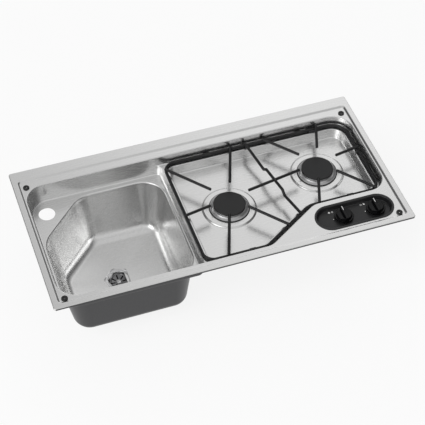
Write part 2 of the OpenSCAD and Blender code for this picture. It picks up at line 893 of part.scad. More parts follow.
module knob(i) {
    grip_z = skirt_z + knob_h;
    color("#141414")
        translate([knobs[i].x, knobs[i].y, 0])
            difference() {
                union() {
                    translate([0, 0, skirt_z])
                        linear_extrude(skirt_t)
                            polygon([for (k = [0 : 2 * tooth_n - 1])
                                polar(knob_r - tooth_d * (k % 2), 180 * k / tooth_n)]);
                    translate([0, 0, skirt_z + skirt_t])
                        cylinder(h = drum_h, r1 = drum_r, r2 = drum_r - drum_taper);
                    translate([-grip_w / 2, -grip_front, skirt_z + skirt_t])
                        cube([grip_w, grip_front + grip_back, knob_h - skirt_t - grip_w / 4]);
                    translate([0, -grip_front, grip_z - grip_w / 4])
                        rotate([-90, 0, 0])
                            linear_extrude(grip_front + grip_back)
                                polygon([
                                    [-grip_w / 2, 0],
                                    [grip_w / 2, 0],
                                    [grip_w / 4, -grip_w / 4],
                                    [-grip_w / 4, -grip_w / 4],
                                ]);
                }
                difference() {
                    translate([0, 0, skirt_z - cut])
                        cylinder(h = spindle_top - skirt_z + cut, r = spindle_r + run_gap);
                    translate([-2 * spindle_r, spindle_r - flat_cut + run_gap, skirt_z])
                        cube([4 * spindle_r, spindle_r, spindle_top - skirt_z + cut]);
                }
                difference() {
                    translate([0, 0, skirt_z - cut])
                        cylinder(h = hollow_d + cut, r = hollow_r2);
                    translate([0, 0, skirt_z - 2 * cut])
                        cylinder(h = hollow_d + 3 * cut, r = hollow_r1);
                }
            }
}

module knob_1() { knob(0); }
module knob_2() { knob(1); }

// Gas rail, inlet and pipes
rail_wall = 2;
rail_over = 20;
inlet_gap = 9;
nut_r = 8;
nut_h = 7;
lead_r = 1.4;
lead_bend_r = 7;
lead_gap = 6.5;
lead_drop = 18;
wire_sides = 12;
rail_left = knobs[0].x - rail_over;
rail_y = knobs[0].y + rail_gap;
inlet_at = [rail_left + rail_l - inlet_gap, rail_y];
inlet_top = rail_z - rail_r;

module gas_rail() {
    color("silver")
        difference() {
            translate([rail_left, rail_y, rail_z])
                rotate([0, 90, 0])
                    cylinder(h = rail_l, r = rail_r);
            translate([rail_left + rail_wall, rail_y, rail_z])
                rotate([0, 90, 0])
                    cylinder(h = rail_l - 2 * rail_wall, r = rail_r - rail_wall);
            for (p = knobs)
                translate([p.x, rail_y - rail_r - cut, rail_z])
                    rotate([-90, 0, 0])
                        cylinder(h = rail_r, r = rail_r / 2);
            translate([inlet_at.x, inlet_at.y, inlet_top - cut])
                cylinder(h = rail_r, r = pipe_r);
        }
}

module gas_inlet() {
    color("#c9a24a")
        translate([inlet_at.x, inlet_at.y, 0])
            difference() {
                union() {
                    translate([0, 0, inlet_top - nut_h - inlet_l])
                        cylinder(h = inlet_l + nut_h + rail_wall, r = pipe_r);
                    difference() {
                        translate([0, 0, inlet_top - nut_h])
                            cylinder(h = nut_h + rail_wall, r = nut_r, $fn = 6);
                        translate([-2 * nut_r, 0, rail_z])
                            rotate([0, 90, 0])
                                cylinder(h = 4 * nut_r, r = rail_r);
                    }
                }
                translate([0, 0, inlet_top - nut_h - inlet_l - cut])
                    cylinder(h = inlet_l + nut_h + rail_wall + 2 * cut, r = pipe_r - pipe_t);
            }
}

// Burners: heights in a burner follow from its raised seat
gasket_in = 40;
gasket_out = 49;
gasket_t = 1.5;
base_edge_h = 1.3;
base_h = 5.5;
base_top_r = 38;
socket_r = 33;
socket_d = 2.5;
skirt_r = 34;
skirt_d = 6;
gas_bore_r = 14;
crown_r = 36.8;
crown_h = 3;
crown_in = 24;
port_d = 2;
cap_edge_r = 1.5;
cap_spigot_d = 2.5;
dimple_r = 1.5;
dimple_gap = 22;
cup_flange_r = 46;
cup_flange_t = 3;
cup_top_r = 38;
cup_low_r = 26;
cup_d = 36;
cup_floor = 4;
arm_r = 8;
arm_l = 62;
arm_bore_r = 5;
arm_drop = 20;
injector_l = 12;
injector_hex_r = 7;
injector_hex_h = 5;
injector_jet_r = 0.6;
burner_screw_gap = 24;
burner_screw_r = 2;
burner_screw_head_r = 3.6;
burner_screw_head_h = 2;
burner_screw_l = 12;
probe_up = 12;
probe_down = 17;
probe_collar_r = 4.2;
probe_collar_h = 4;
base_z = seat_z + gasket_t;
base_top = base_z + base_h;
crown_top = base_top + crown_h;
under_z = seat_z - sheet_t;
cup_in_z = seat_z - skirt_d;
arm_z = under_z - arm_drop;
probe_angle = 180 + bar_angle / 2;
outlets = [for (p = knobs) [p.x + outlet_gap, p.y]];
lead_sockets = [for (p = knobs) [p.x - outlet_gap, p.y]];
arm_angles = [for (i = [0 : 1]) atan2(outlets[i].y - burners[i].y, outlets[i].x - burners[i].x)];

module probe_hole(i, low, high) {
    rotate(probe_angle)
        translate([probe_gap, 0, low])
            cylinder(h = high - low, r = probe_r + loose_gap);
}

module at_burner(i) {
    translate([burners[i].x, burners[i].y, 0])
        children();
}

module burner_gasket(i) {
    color("#1a1a1a")
        at_burner(i)
            difference() {
                translate([0, 0, seat_z])
                    cylinder(h = gasket_t, r = gasket_out);
                translate([0, 0, seat_z - cut])
                    cylinder(h = gasket_t + 2 * cut, r = gasket_in);
                probe_hole(i, seat_z - cut, base_z + cut);
            }
}

module burner_gasket_1() { burner_gasket(0); }
module burner_gasket_2() { burner_gasket(1); }

module burner_base(i) {
    color("#b8b8ba")
        at_burner(i)
            difference() {
                rotate_extrude()
                    polygon([
                        [gas_bore_r, seat_z - skirt_d],
                        [skirt_r, seat_z - skirt_d],
                        [skirt_r, base_z],
                        [base_r, base_z],
                        [base_r, base_z + base_edge_h],
                        [base_top_r, base_top],
                        [socket_r, base_top],
                        [socket_r, base_top - socket_d],
                        [gas_bore_r, base_top - socket_d],
                    ]);
                probe_hole(i, seat_z, base_top + cut);
                burner_screw_holes(seat_z - skirt_d - cut, base_top);
            }
}

module burner_base_1() { burner_base(0); }
module burner_base_2() { burner_base(1); }

module burner_screw_holes(low, high) {
    for (a = [0, 120, 240])
        rotate(a + bar_angle)
            translate([burner_screw_gap, 0, low])
                cylinder(h = high - low, r = burner_screw_r);
}

module burner_screws(i) {
    top = base_top - socket_d;
    color("silver")
        at_burner(i)
            for (a = [0, 120, 240])
                rotate(a + bar_angle)
                    translate([burner_screw_gap, 0, 0]) {
                        translate([0, 0, top])
                            cylinder(h = burner_screw_head_h, r = burner_screw_head_r);
                        translate([0, 0, top - burner_screw_l])
                            cylinder(h = burner_screw_l, r = burner_screw_r);
                    }
}

module burner_screws_1() { burner_screws(0); }
module burner_screws_2() { burner_screws(1); }

module burner_crown(i) {
    color("#a9a9ab")
        at_burner(i)
            difference() {
                union() {
                    translate([0, 0, base_top])
                        cylinder(h = crown_h, r1 = crown_r, r2 = crown_r - loose_gap);
                    translate([0, 0, base_top - socket_d])
                        cylinder(h = socket_d, r = socket_r - loose_gap);
                }
                translate([0, 0, base_top - socket_d - cut])
                    cylinder(h = socket_d + crown_h + 2 * cut, r = crown_in);
                for (k = [0 : port_n - 1])
                    rotate(360 * (k + 1 / 2) / port_n)
                        translate([crown_in + port_d, -port_w / 2, crown_top - port_d])
                            cube([crown_r, port_w, crown_h]);
                for (a = [0, 120, 240])
                    rotate(a + bar_angle)
                        translate([burner_screw_gap, 0, base_top - socket_d - cut])
                            cylinder(h = burner_screw_head_h + loose_gap + cut,
                                r = burner_screw_head_r + loose_gap);
            }
}

module burner_crown_1() { burner_crown(0); }
module burner_crown_2() { burner_crown(1); }

module burner_cap(i) {
    color("#1b1b1c")
        at_burner(i)
            difference() {
                rotate_extrude() {
                    translate([0, crown_top])
                        square([cap_r, cap_h - cap_edge_r]);
                    translate([0, crown_top])
                        square([cap_r - cap_edge_r, cap_h]);
                    translate([cap_r - cap_edge_r, crown_top + cap_h - cap_edge_r])
                        circle(cap_edge_r);
                    translate([0, crown_top - cap_spigot_d])
                        square([crown_in - loose_gap, cap_spigot_d + cut]);
                }
                for (side = [-1, 1])
                    translate([0, side * dimple_gap, crown_top + cap_h])
                        sphere(dimple_r, $fn = 32);
            }
}

module burner_cap_1() { burner_cap(0); }
module burner_cap_2() { burner_cap(1); }

module burner_cup(i) {
    low = under_z - cup_d;
    color("#9b9b9d")
        at_burner(i)
            difference() {
                union() {
                    rotate_extrude()
                        polygon([
                            [0, cup_in_z],
                            [skirt_r + loose_gap, cup_in_z],
                            [skirt_r + loose_gap, under_z],
                            [cup_flange_r, under_z],
                            [cup_flange_r, under_z - cup_flange_t],
                            [cup_top_r, under_z - cup_flange_t],
                            [cup_low_r, low],
                            [0, low],
                        ]);
                    rotate(arm_angles[i])
                        translate([0, 0, arm_z])
                            rotate([0, 90, 0])
                                cylinder(h = arm_l, r = arm_r);
                }
                translate([0, 0, low + cup_floor])
                    cylinder(h = cup_d, r = gas_bore_r);
                rotate(arm_angles[i])
                    translate([0, 0, arm_z])
                        rotate([0, 90, 0])
                            cylinder(h = arm_l + cut, r = arm_bore_r);
                burner_screw_holes(cup_in_z - burner_screw_l, cup_in_z + cut);
                probe_hole(i, low - cut, under_z + cut);
            }
}

module burner_cup_1() { burner_cup(0); }
module burner_cup_2() { burner_cup(1); }

module injector(i) {
    color("#c9a24a")
        at_burner(i)
            rotate(arm_angles[i])
                translate([arm_l, 0, arm_z])
                    rotate([0, 90, 0])
                        difference() {
                            union() {
                                translate([0, 0, -injector_l])
                                    cylinder(h = injector_l, r = arm_bore_r);
                                cylinder(h = injector_hex_h, r = injector_hex_r, $fn = 6);
                            }
                            translate([0, 0, -injector_l - cut])
                                cylinder(h = injector_l + injector_hex_h + 2 * cut, r = injector_jet_r);
                        }
}

module injector_1() { injector(0); }
module injector_2() { injector(1); }

// A round bar that drops from its start, bends and runs on level for run
module bent_drop(drop, run, bend_r, r) {
    translate([0, 0, bend_r - drop])
        cylinder(h = drop - bend_r, r = r);
    translate([bend_r, 0, bend_r - drop])
        rotate([90, 0, 0])
            rotate_extrude(angle = 90, start = 180)
                translate([bend_r, 0])
                    circle(r);
    translate([bend_r, 0, -drop])
        rotate([0, 90, 0])
            cylinder(h = run - bend_r, r = r);
}

// Pipe from a tap's outlet to the burner's injector
module burner_pipe(i) {
    top = tap_low - outlet_h / 2;
    drop = top - arm_z;
    run = norm(outlets[i] - burners[i]) - arm_l - injector_hex_h;
    color("#c8c8ca")
        translate([outlets[i].x, outlets[i].y, top])
            rotate(arm_angles[i] + 180)
                difference() {
                    bent_drop(drop, run, pipe_bend_r, pipe_r);
                    translate([0, 0, cut])
                        bent_drop(drop + cut, run + cut, pipe_bend_r, pipe_r - pipe_t);
                }
}

module burner_pipe_1() { burner_pipe(0); }
module burner_pipe_2() { burner_pipe(1); }

module pipe_nuts() {
    color("#c9a24a")
        for (i = [0 : 1]) {
            translate([outlets[i].x, outlets[i].y, tap_low - outlet_h - nut_h])
                nut(pipe_r);
            translate([burners[i].x, burners[i].y, arm_z])
                rotate(arm_angles[i])
                    translate([arm_l + injector_hex_h, 0, 0])
                        rotate([0, 90, 0])
                            nut(pipe_r);
        }
}

module nut(r) {
    difference() {
        cylinder(h = nut_h, r = nut_r, $fn = 6);
        translate([0, 0, -cut])
            cylinder(h = nut_h + 2 * cut, r = r);
    }
}

function probe_at(i) = burners[i] + polar(probe_gap, probe_angle);

module thermocouple(i) {
    p = probe_at(i);
    collar_top = under_z - cup_flange_t;
    color("#d8d8d8")
        translate([p.x, p.y, 0]) {
            translate([0, 0, base_top + probe_up - probe_r - gasket_t])
                sphere(probe_r, $fn = 32);
            translate([0, 0, under_z - probe_down])
                cylinder(h = base_top + probe_up - probe_r - gasket_t - under_z + probe_down, r = probe_r);
            translate([0, 0, collar_top - probe_collar_h])
                cylinder(h = probe_collar_h, r = probe_collar_r);
        }
}

module thermocouple_1() { thermocouple(0); }
module thermocouple_2() { thermocouple(1); }

// Ring round a point on a wire; sideways is square to the wire's travel
function wire_ring(p, travel, sideways, stretch, r) =
    [for (k = [0 : wire_sides - 1])
        p + r * (cos(360 * k / wire_sides) * sideways
            + sin(360 * k / wire_sides) * stretch * cross(sideways, travel))];

function unit(v) = v / norm(v);

// Ring at point i of a bent wire, mitred where the wire turns
function mitred_ring(points, i, sideways, r) =
    let (last = len(points) - 1)
    let (before = i > 0 ? unit(points[i] - points[i - 1]) : unit(points[1] - points[0]))
    let (after = i < last ? unit(points[i + 1] - points[i]) : before)
    let (travel = unit(before + after))
    wire_ring(points[i], travel, sideways, 1 / (travel * before), r);

module bent_wire(points, sideways, r) {
    stack([for (i = [0 : len(points) - 1]) mitred_ring(points, i, sideways, r)]);
}

// Points round a bend of radius r at the middle one of three points
function bend_points(before, here, after, r) =
    let (u = unit(before - here))
    let (v = unit(after - here))
    let (half = acos(u * v) / 2)
    let (turn = 180 - 2 * half)
    let (centre = here + r / sin(half) * unit(u + v))
    let (a = here + r / tan(half) * u - centre)
    let (b = here + r / tan(half) * v - centre)
    [for (i = [0 : corner_steps])
        let (k = turn * i / corner_steps)
        centre + (sin(turn - k) * a + sin(k) * b) / sin(turn)];

// Lead from the thermocouple to its socket in the tap: down, under the cup and up
module probe_lead(i) {
    p = probe_at(i);
    top1 = under_z - probe_down;
    top2 = tap_low - probe_boss_h / 2;
    low1 = under_z - cup_d - lead_gap;
    low2 = tap_low - probe_boss_h - lead_drop;
    socket = lead_sockets[i];
    path = [concat(p, top1), concat(p, low1), concat(socket, low2), concat(socket, top2)];
    way = unit(socket - p);
    color("#b87333")
        bent_wire(concat(
            [path[0]],
            bend_points(path[0], path[1], path[2], lead_bend_r),
            bend_points(path[1], path[2], path[3], lead_bend_r),
            [path[3]]
        ), [way.y, -way.x, 0], lead_r);
}

module probe_lead_1() { probe_lead(0); }
module probe_lead_2() { probe_lead(1); }

// Pan support: a frame of bent wire with prongs welded on top of it
frame_z = ledge_z + wire_z;
weld_lap = 0.5;
prong_z = frame_z + 2 * wire_r - weld_lap;
foot_l = 14;
foot_edges = [0, 2, 4, 4];
foot_shares = [0.762, 0.582, 0.245, 0.757];
clip_l = 26;
clip_share = 0.164;
clip_wall = 2.4;

// Straight wire between two points
module wire(a, b) {
    d = b - a;
    translate(a)
        rotate([0, acos(d.z / norm(d)), atan2(d.y, d.x)])
            cylinder(h = norm(d), r = wire_r);
}

// Points of the frame's centre line, each with its direction of travel
function frame_path(before, here, after) =
    let (n1 = edge_normal(flat(before), flat(here)))
    let (n2 = edge_normal(flat(here), flat(after)))
    let (turn = atan2(cross(n1, n2), n1 * n2))
    let (points = corner_points(before, here, after, 0))
    [for (i = [0 : corner_steps])
        [points[i], polar(1, 90 + step_angle(atan2(n1.y, n1.x), turn, i, corner_steps))]];

module frame_wire() {
    n = len(wire_outline);
    path = [for (i = [0 : n - 1])
        each frame_path(wire_outline[(i + n - 1) % n], wire_outline[i], wire_outline[(i + 1) % n])];
    rings = [for (p = path) wire_ring(concat(p[0], frame_z), concat(p[1], 0), [0, 0, 1], 1, wire_r)];
    faces = [for (k = [0 : len(rings) - 1], i = [0 : wire_sides - 1])
        let (next = (k + 1) % len(rings))
        let (turned = (i + 1) % wire_sides)
        [k * wire_sides + i, k * wire_sides + turned, next * wire_sides + turned, next * wire_sides + i]];
    polyhedron(points = [for (ring = rings) each ring], faces = faces);
}

// Distance from a point along a direction to edge i of the frame, or past the rim if it misses
function edge_hit(p, way, i) =
    let (n = len(wire_outline))
    let (a = flat(wire_outline[i]))
    let (b = flat(wire_outline[(i + 1) % n]))
    let (normal = edge_normal(a, b))
    let (far = normal * way > 0 ? (normal * (a - p)) / (normal * way) : rim_l)
    let (along_share = ((p + far * way - a) * (b - a)) / ((b - a) * (b - a)))
    along_share >= 0 && along_share <= 1 ? far : rim_l;
function reach(p, angle) =
    min([for (i = [0 : len(wire_outline) - 1]) edge_hit(p, polar(1, angle), i)]);

module prong(p, angle) {
    wire(
        concat(p + polar(prong_gap, angle), prong_z),
        concat(p + polar(reach(p, angle) + wire_r, angle), prong_z));
}

module pan_support() {
    middle = (burners[0] + burners[1]) / 2;
    along = polar(1, bar_angle);
    across = polar(1, bar_angle + 90);
    low = [0, 0, weld_lap - 2 * wire_r];
    far = [for (side = [-1, 1]) side * (reach(middle, bar_angle + side * 90) + wire_r)];
    bar_half = burner_span / 2 - prong_gap;
    color("#1f1f20") {
        frame_wire();
        for (a = [60, 120, 180, 240, 300])
            prong(burners[0], bar_angle + a);
        for (a = [0, 60, 120, 240, 300])
            prong(burners[1], bar_angle + a);
        wire(concat(middle - bar_half * along, prong_z), concat(middle + bar_half * along, prong_z));
        bent_wire([
            concat(middle + far[0] * across, prong_z),
            concat(middle - dip_half * across, prong_z),
            concat(middle - (dip_half + low.z) * across, prong_z) + low,
            concat(middle + (dip_half + low.z) * across, prong_z) + low,
            concat(middle + dip_half * across, prong_z),
            concat(middle + far[1] * across, prong_z),
        ], concat(along, 0), wire_r);
    }
}

// Place on edge i of the frame, at a share of the way from point i to the next
function frame_place(i, share) =
    flat(wire_outline[i]) + share * flat(wire_outline[i + 1] - wire_outline[i]);

// Rubber feet round the frame, with their undersides on the ledge
module pan_support_feet() {
    color("#101010")
        for (k = [0 : len(foot_edges) - 1])
            translate(concat(frame_place(foot_edges[k], foot_shares[k]) - [foot_l / 2, 0], frame_z))
                rotate([0, 90, 0])
                    difference() {
                        cylinder(h = foot_l, r = wire_z);
                        translate([0, 0, -cut])
                            cylinder(h = foot_l + 2 * cut, r = wire_r);
                    }
}

// Clip on the ledge that the back of the frame drops into
module pan_support_clip() {
    front = wire_r + loose_gap + clip_wall;
    color("#161616")
        translate(concat(frame_place(4, clip_share) - [clip_l / 2, 0], 0))
            difference() {
                translate([0, -front, ledge_z])
                    cube([clip_l, front + wire_r, wire_z + wire_r / 2]);
                translate([-cut, 0, frame_z])
                    rotate([0, 90, 0])
                        cylinder(h = clip_l + 2 * cut, r = wire_r + loose_gap);
                translate([-cut, -wire_r - loose_gap, frame_z])
                    cube([clip_l + 2 * cut, 2 * (wire_r + loose_gap), wire_r]);
            }
}

top_pressing();
sink_bowl();
rim_seal();
corner_grommets();
waste_flange();
waste_gasket();
waste_body();
waste_screw();
control_panel();
tap_screws();
tap_1();
tap_2();
push_rod_1();
push_rod_2();
spindle_1();
spindle_2();
knob_1();
knob_2();
gas_rail();
gas_inlet();
burner_pipe_1();
burner_pipe_2();
pipe_nuts();
burner_cup_1();
burner_cup_2();
injector_1();
injector_2();
burner_gasket_1();
burner_gasket_2();
burner_base_1();
burner_base_2();
burner_screws_1();
burner_screws_2();
burner_crown_1();
burner_crown_2();
burner_cap_1();
burner_cap_2();
thermocouple_1();
thermocouple_2();
probe_lead_1();
probe_lead_2();
pan_support();
pan_support_feet();
pan_support_clip();
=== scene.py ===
import math

import bmesh
import bpy
from mathutils import Matrix, Vector


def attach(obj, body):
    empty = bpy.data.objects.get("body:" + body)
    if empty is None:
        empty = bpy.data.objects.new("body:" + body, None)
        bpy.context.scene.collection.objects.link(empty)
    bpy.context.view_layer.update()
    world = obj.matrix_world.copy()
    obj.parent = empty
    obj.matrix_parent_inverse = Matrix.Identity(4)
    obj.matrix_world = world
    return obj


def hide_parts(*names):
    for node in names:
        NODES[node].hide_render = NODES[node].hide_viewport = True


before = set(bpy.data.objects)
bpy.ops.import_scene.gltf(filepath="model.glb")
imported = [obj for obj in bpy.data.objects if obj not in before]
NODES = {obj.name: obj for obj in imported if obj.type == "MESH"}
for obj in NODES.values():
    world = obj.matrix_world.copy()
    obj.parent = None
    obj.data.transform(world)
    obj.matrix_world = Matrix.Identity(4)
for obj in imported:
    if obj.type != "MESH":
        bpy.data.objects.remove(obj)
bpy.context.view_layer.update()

# Sizes are in millimetres, as in part.scad, and become metres when a mesh is made
MM = 0.001
LEFT, RIGHT, FRONT, BACK = -430.0, 430.0, -201.0, 229.0
RIM_Z, DECK_Z, LEDGE_Z, FLOOR_Z = 5.0, 2.0, -22.5, -48.0
WELD_Z, BOWL_Z, DRAIN_Z, SEAT_Z = -57.0, -177.0, -180.0, -45.0
WALL_LEAN, BOWL_LEAN = 0.12, 0.185
RIM_EDGE_R, LIP_R, FOOT_R, RIDGE_R, MOUTH_R, BOWL_FOOT_R = 1.4, 3.0, 4.0, 2.0, 4.0, 28.0
SLOPE_W, RIDGE_GAP = 6.0, 0.24

# Thickness of the sheet, and how far a cutter reaches past what it cuts
SHEET = 1.0
CUT = 1.0

# Steps of the meshes, and the small radius that stands for a turned piece's axis
CORNER_STEPS, ARC_STEPS, EDGE_STEPS, ROUND_STEPS = 20, 8, 4, 96
HOLE_STEPS, BOWL_FOOT_STEPS, BOWL_FLOOR_STEPS = 32, 14, 8
AXIS_R = 0.01

# Places of walls and outlines, each outline a list of (x, y, corner radius)
WALL_LEFT, WALL_RIGHT = LEFT + 22, RIGHT - 22
WALL_FRONT, WALL_BACK = FRONT + 27, BACK - 55.5
CONTROL_Y = FRONT + 113
SLANT_LEFT, SLANT_RIGHT = RIGHT - 344, RIGHT - 209
RIDGE_LEFT = LEFT + 0.417 * (RIGHT - LEFT)
RIDGE_FOOT = RIDGE_LEFT + WALL_LEAN * (DECK_Z - LEDGE_Z)
RIM_CORNER, SLOPE_CORNER, WALL_CORNER, CONTROL_CORNER, RIDGE_CORNER = 5, 10, 50, 40, 20
SLOPE_GAP, SLOPE_BACK_GAP = 12.5, 30


def rectangle(x1, y1, x2, y2, r):
    return [(x1, y1, r), (x2, y1, r), (x2, y2, r), (x1, y2, r)]


RIM = rectangle(LEFT, FRONT, RIGHT, BACK, RIM_CORNER)
SLOPE = rectangle(
    LEFT + SLOPE_GAP, FRONT + SLOPE_GAP, RIGHT - SLOPE_GAP, BACK - SLOPE_BACK_GAP, SLOPE_CORNER)
RECESS = [
    (WALL_LEFT, WALL_FRONT, WALL_CORNER),
    (SLANT_LEFT, WALL_FRONT, CONTROL_CORNER),
    (SLANT_RIGHT, CONTROL_Y, CONTROL_CORNER),
    (WALL_RIGHT, CONTROL_Y, CONTROL_CORNER),
    (WALL_RIGHT, WALL_BACK, WALL_CORNER),
    (WALL_LEFT, WALL_BACK, WALL_CORNER),
]
SINK = [
    (WALL_LEFT, WALL_FRONT, WALL_CORNER),
    (RIDGE_FOOT, WALL_FRONT, RIDGE_CORNER),
    (RIDGE_FOOT, WALL_BACK, RIDGE_CORNER),
    (WALL_LEFT, WALL_BACK, WALL_CORNER),
]
BOWL_X1, BOWL_X2 = LEFT + 36, RIDGE_LEFT - 11
BOWL_Y1, BOWL_Y2 = FRONT + 43, WALL_BACK - 19
BOWL_CORNER, CUT_CORNER, CUT_REACH = 58, 70, 114
BOWL = [
    (BOWL_X1, BOWL_Y1, BOWL_CORNER),
    (BOWL_X2, BOWL_Y1, BOWL_CORNER),
    (BOWL_X2, BOWL_Y2, BOWL_CORNER),
    (BOWL_X1 + CUT_REACH, BOWL_Y2, CUT_CORNER),
    (BOWL_X1, BOWL_Y2 - CUT_REACH, CUT_CORNER),
]

# Places and radii of what stands in the pressing
BOWL_SHIFT = Vector((3, -10))
WASTE = BOWL_SHIFT + Vector((
    BOWL_X1 + 0.494 * (BOWL_X2 - BOWL_X1),
    BOWL_Y1 + 0.496 * (BOWL_Y2 - BOWL_Y1),
))
TAP_HOLE = Vector((LEFT + 63, FRONT + 325.5))
KNOB_Y = FRONT + 61
PANEL = Vector((RIGHT - 128, KNOB_Y))
KNOBS = [Vector((RIGHT - 154, KNOB_Y)), Vector((RIGHT - 74, KNOB_Y))]
HOB_W = RIGHT - RIDGE_LEFT
BURNERS = [
    Vector((RIGHT - 0.764 * HOB_W, WALL_FRONT + 0.517 * (WALL_BACK - WALL_FRONT))),
    Vector((RIGHT - 0.285 * HOB_W, CONTROL_Y + 0.52 * (WALL_BACK - CONTROL_Y))),
]
FIXINGS = [Vector((x, y)) for x in (-400, 400) for y in (-175, 175)]
BAR = BURNERS[1] - BURNERS[0]
BAR_ANGLE = math.atan2(BAR.y, BAR.x)
SEAT_R, SEAT_HOLE_R, SEAT_SLOPE_W = 66.0, 36.0, 5.0
TAP_HOLE_R, FIXING_R, PROBE_R, PROBE_REACH = 19.5, 4.5, 2.6, 43
TRAY_SIZE, TRAY_HOLE = (194, 76), (186, 68)


# Outlines and profiles
def polar(r, a):
    return Vector((r * math.cos(a), r * math.sin(a)))


def at(p, z):
    return Vector((p.x, p.y, z))


def flat(points, z):
    return [at(p, z) for p in points]


def circle(centre, r, steps=ROUND_STEPS):
    return [centre + polar(r, 2 * math.pi * k / steps) for k in range(steps)]


def obround(length, width, steps=24):
    points = []
    for side, start in ((1, -math.pi / 2), (-1, math.pi / 2)):
        centre = Vector((side * (length - width) / 2, 0))
        points += [centre + polar(width / 2, start + math.pi * i / steps) for i in range(steps + 1)]
    return points


def arc_line(cx, cz, r, start, end, steps=6):
    """Part of a circle in a profile; angles in degrees."""
    turn = [math.radians(start + (end - start) * i / steps) for i in range(steps + 1)]
    return [(cx + r * math.cos(a), cz + r * math.sin(a)) for a in turn]


def double_bend(inset, width, high, low):
    """Smooth step in a profile from one level down to another."""
    line = []
    for i in range(ARC_STEPS + 1):
        t = i / ARC_STEPS
        line.append((inset + width * t, high - (high - low) * t * t * (3 - 2 * t)))
    return line


def edge_normal(a, b):
    d = b - a
    return Vector((d.y, -d.x)) / d.length


def corner(before, here, after, inset, steps):
    p = [Vector(q[:2]) for q in (before, here, after)]
    n1, n2 = edge_normal(p[0], p[1]), edge_normal(p[1], p[2])
    turn = math.atan2(n1.x * n2.y - n1.y * n2.x, n1.dot(n2))
    r = here[2] * (1 if turn > 0 else -1)
    centre = p[1] - r * (n1 + n2) / (1 + n1.dot(n2))
    start = math.atan2(n1.y, n1.x)
    return [centre + polar(r - inset, start + turn * i / steps) for i in range(steps + 1)]


def ring(outline, inset, steps=CORNER_STEPS):
    """Points of an outline with rounded corners, moved inwards by inset."""
    n = len(outline)
    return [
        q
        for i in range(n)
        for q in corner(outline[i - 1], outline[i], outline[(i + 1) % n], inset, steps)
    ]


def shifted(outline, shifts, radii):
    """Outline with each side moved inwards by its own shift, and with new corner radii."""
    moved = []
    for i, here in enumerate(outline):
        p = [Vector(q[:2]) for q in (outline[i - 1], here, outline[(i + 1) % len(outline)])]
        n1, n2 = edge_normal(p[0], p[1]), edge_normal(p[1], p[2])
        c1 = n1.dot(p[1]) - shifts[i - 1]
        c2 = n2.dot(p[1]) - shifts[i]
        det = n1.x * n2.y - n1.y * n2.x
        moved.append(((c1 * n2.y - c2 * n1.y) / det, (n1.x * c2 - n2.x * c1) / det, radii[i]))
    return moved


def lip_profile(top, lean, r, grow):
    a = math.atan(lean)
    middle = lean * r - r / math.cos(a)
    turns = [math.pi / 2 + (a - math.pi / 2) * i / ARC_STEPS for i in range(ARC_STEPS + 1)]
    return [(middle + p.x, top - r + p.y) for p in (polar(r - grow, turn) for turn in turns)]


def foot_profile(top, low, lean, r, grow, steps=ARC_STEPS):
    a = math.atan(lean)
    middle = lean * (top - low - r) + r / math.cos(a)
    turns = [a + (math.pi / 2 - a) * i / steps for i in range(steps + 1)]
    return [(middle - p.x, low + r - p.y) for p in (polar(r + grow, turn) for turn in turns)]


def pocket_profile(top, low, edge_r, grow):
    """Wall of a pocket: the air in it where grow is 0, the metal around it where grow is the sheet."""
    lip = lip_profile(top, WALL_LEAN, edge_r, grow)
    start = (lip[0][0], top if grow else top + CUT)
    return [start, *lip, *foot_profile(top, low, WALL_LEAN, FOOT_R, grow)]


# Places of the thermocouples beside the burners
PROBES = [p + polar(PROBE_REACH, math.pi + BAR_ANGLE / 2) for p in BURNERS]

# Lines of the pan support's frame, inside the recess, and of the hob's well, inside the frame
FRAME_GAPS = [16.5, 16.5, 16.5, 10, 10, RIDGE_LEFT + 4.5 - WALL_LEFT]
FRAME_CORNERS = [26, 23.5, 56.5, 26, 40, 26]
FRAME_LINE = shifted(RECESS, FRAME_GAPS, FRAME_CORNERS)
WELL_GAPS = [9] * 6
WELL_CORNERS = [17, 14.5, 65.5, 17, 31, 17]
WELL = shifted(FRAME_LINE, WELL_GAPS, WELL_CORNERS)


# Meshes
def placed(name, data):
    made = bpy.data.objects.new(name, data)
    bpy.context.scene.collection.objects.link(made)
    return made


def new_object(name, verts, faces):
    mesh = bpy.data.meshes.new(name)
    mesh.from_pydata([Vector(v) * MM for v in verts], [], faces)
    mesh.validate()
    mesh.update()
    return placed(name, mesh)


def outward(made):
    work = bmesh.new()
    work.from_mesh(made.data)
    bmesh.ops.remove_doubles(work, verts=work.verts, dist=1e-7)
    bmesh.ops.recalc_face_normals(work, faces=work.faces)
    work.to_mesh(made.data)
    work.free()
    return made


def skin(name, rings, closed_ends=True):
    """Solid or tube through rings of equally many points."""
    n = len(rings[0])
    verts = [v for r in rings for v in r]
    faces = [
        (k * n + i, (k + 1) * n + i, (k + 1) * n + (i + 1) % n, k * n + (i + 1) % n)
        for k in range(len(rings) - 1)
        for i in range(n)
    ]
    if closed_ends:
        faces.append(tuple(range(n)))
        faces.append(tuple(reversed(range((len(rings) - 1) * n, len(rings) * n))))
    return outward(new_object(name, verts, faces))


def loft(name, outline, profile):
    return skin(name, [flat(ring(outline, inset), z) for inset, z in profile])


def prism(name, outline, low, high):
    return skin(name, [flat(outline, z) for z in (low, high)])


def cylinder(name, centre, r, low, high, steps=ROUND_STEPS):
    return prism(name, circle(centre, r, steps), low, high)


def turned_solid(name, profile, centre, steps=ROUND_STEPS):
    """Turned piece with flat ends; its profile is a line of (radius, height)."""
    return skin(name, [flat(circle(centre, r, steps), z) for r, z in profile])


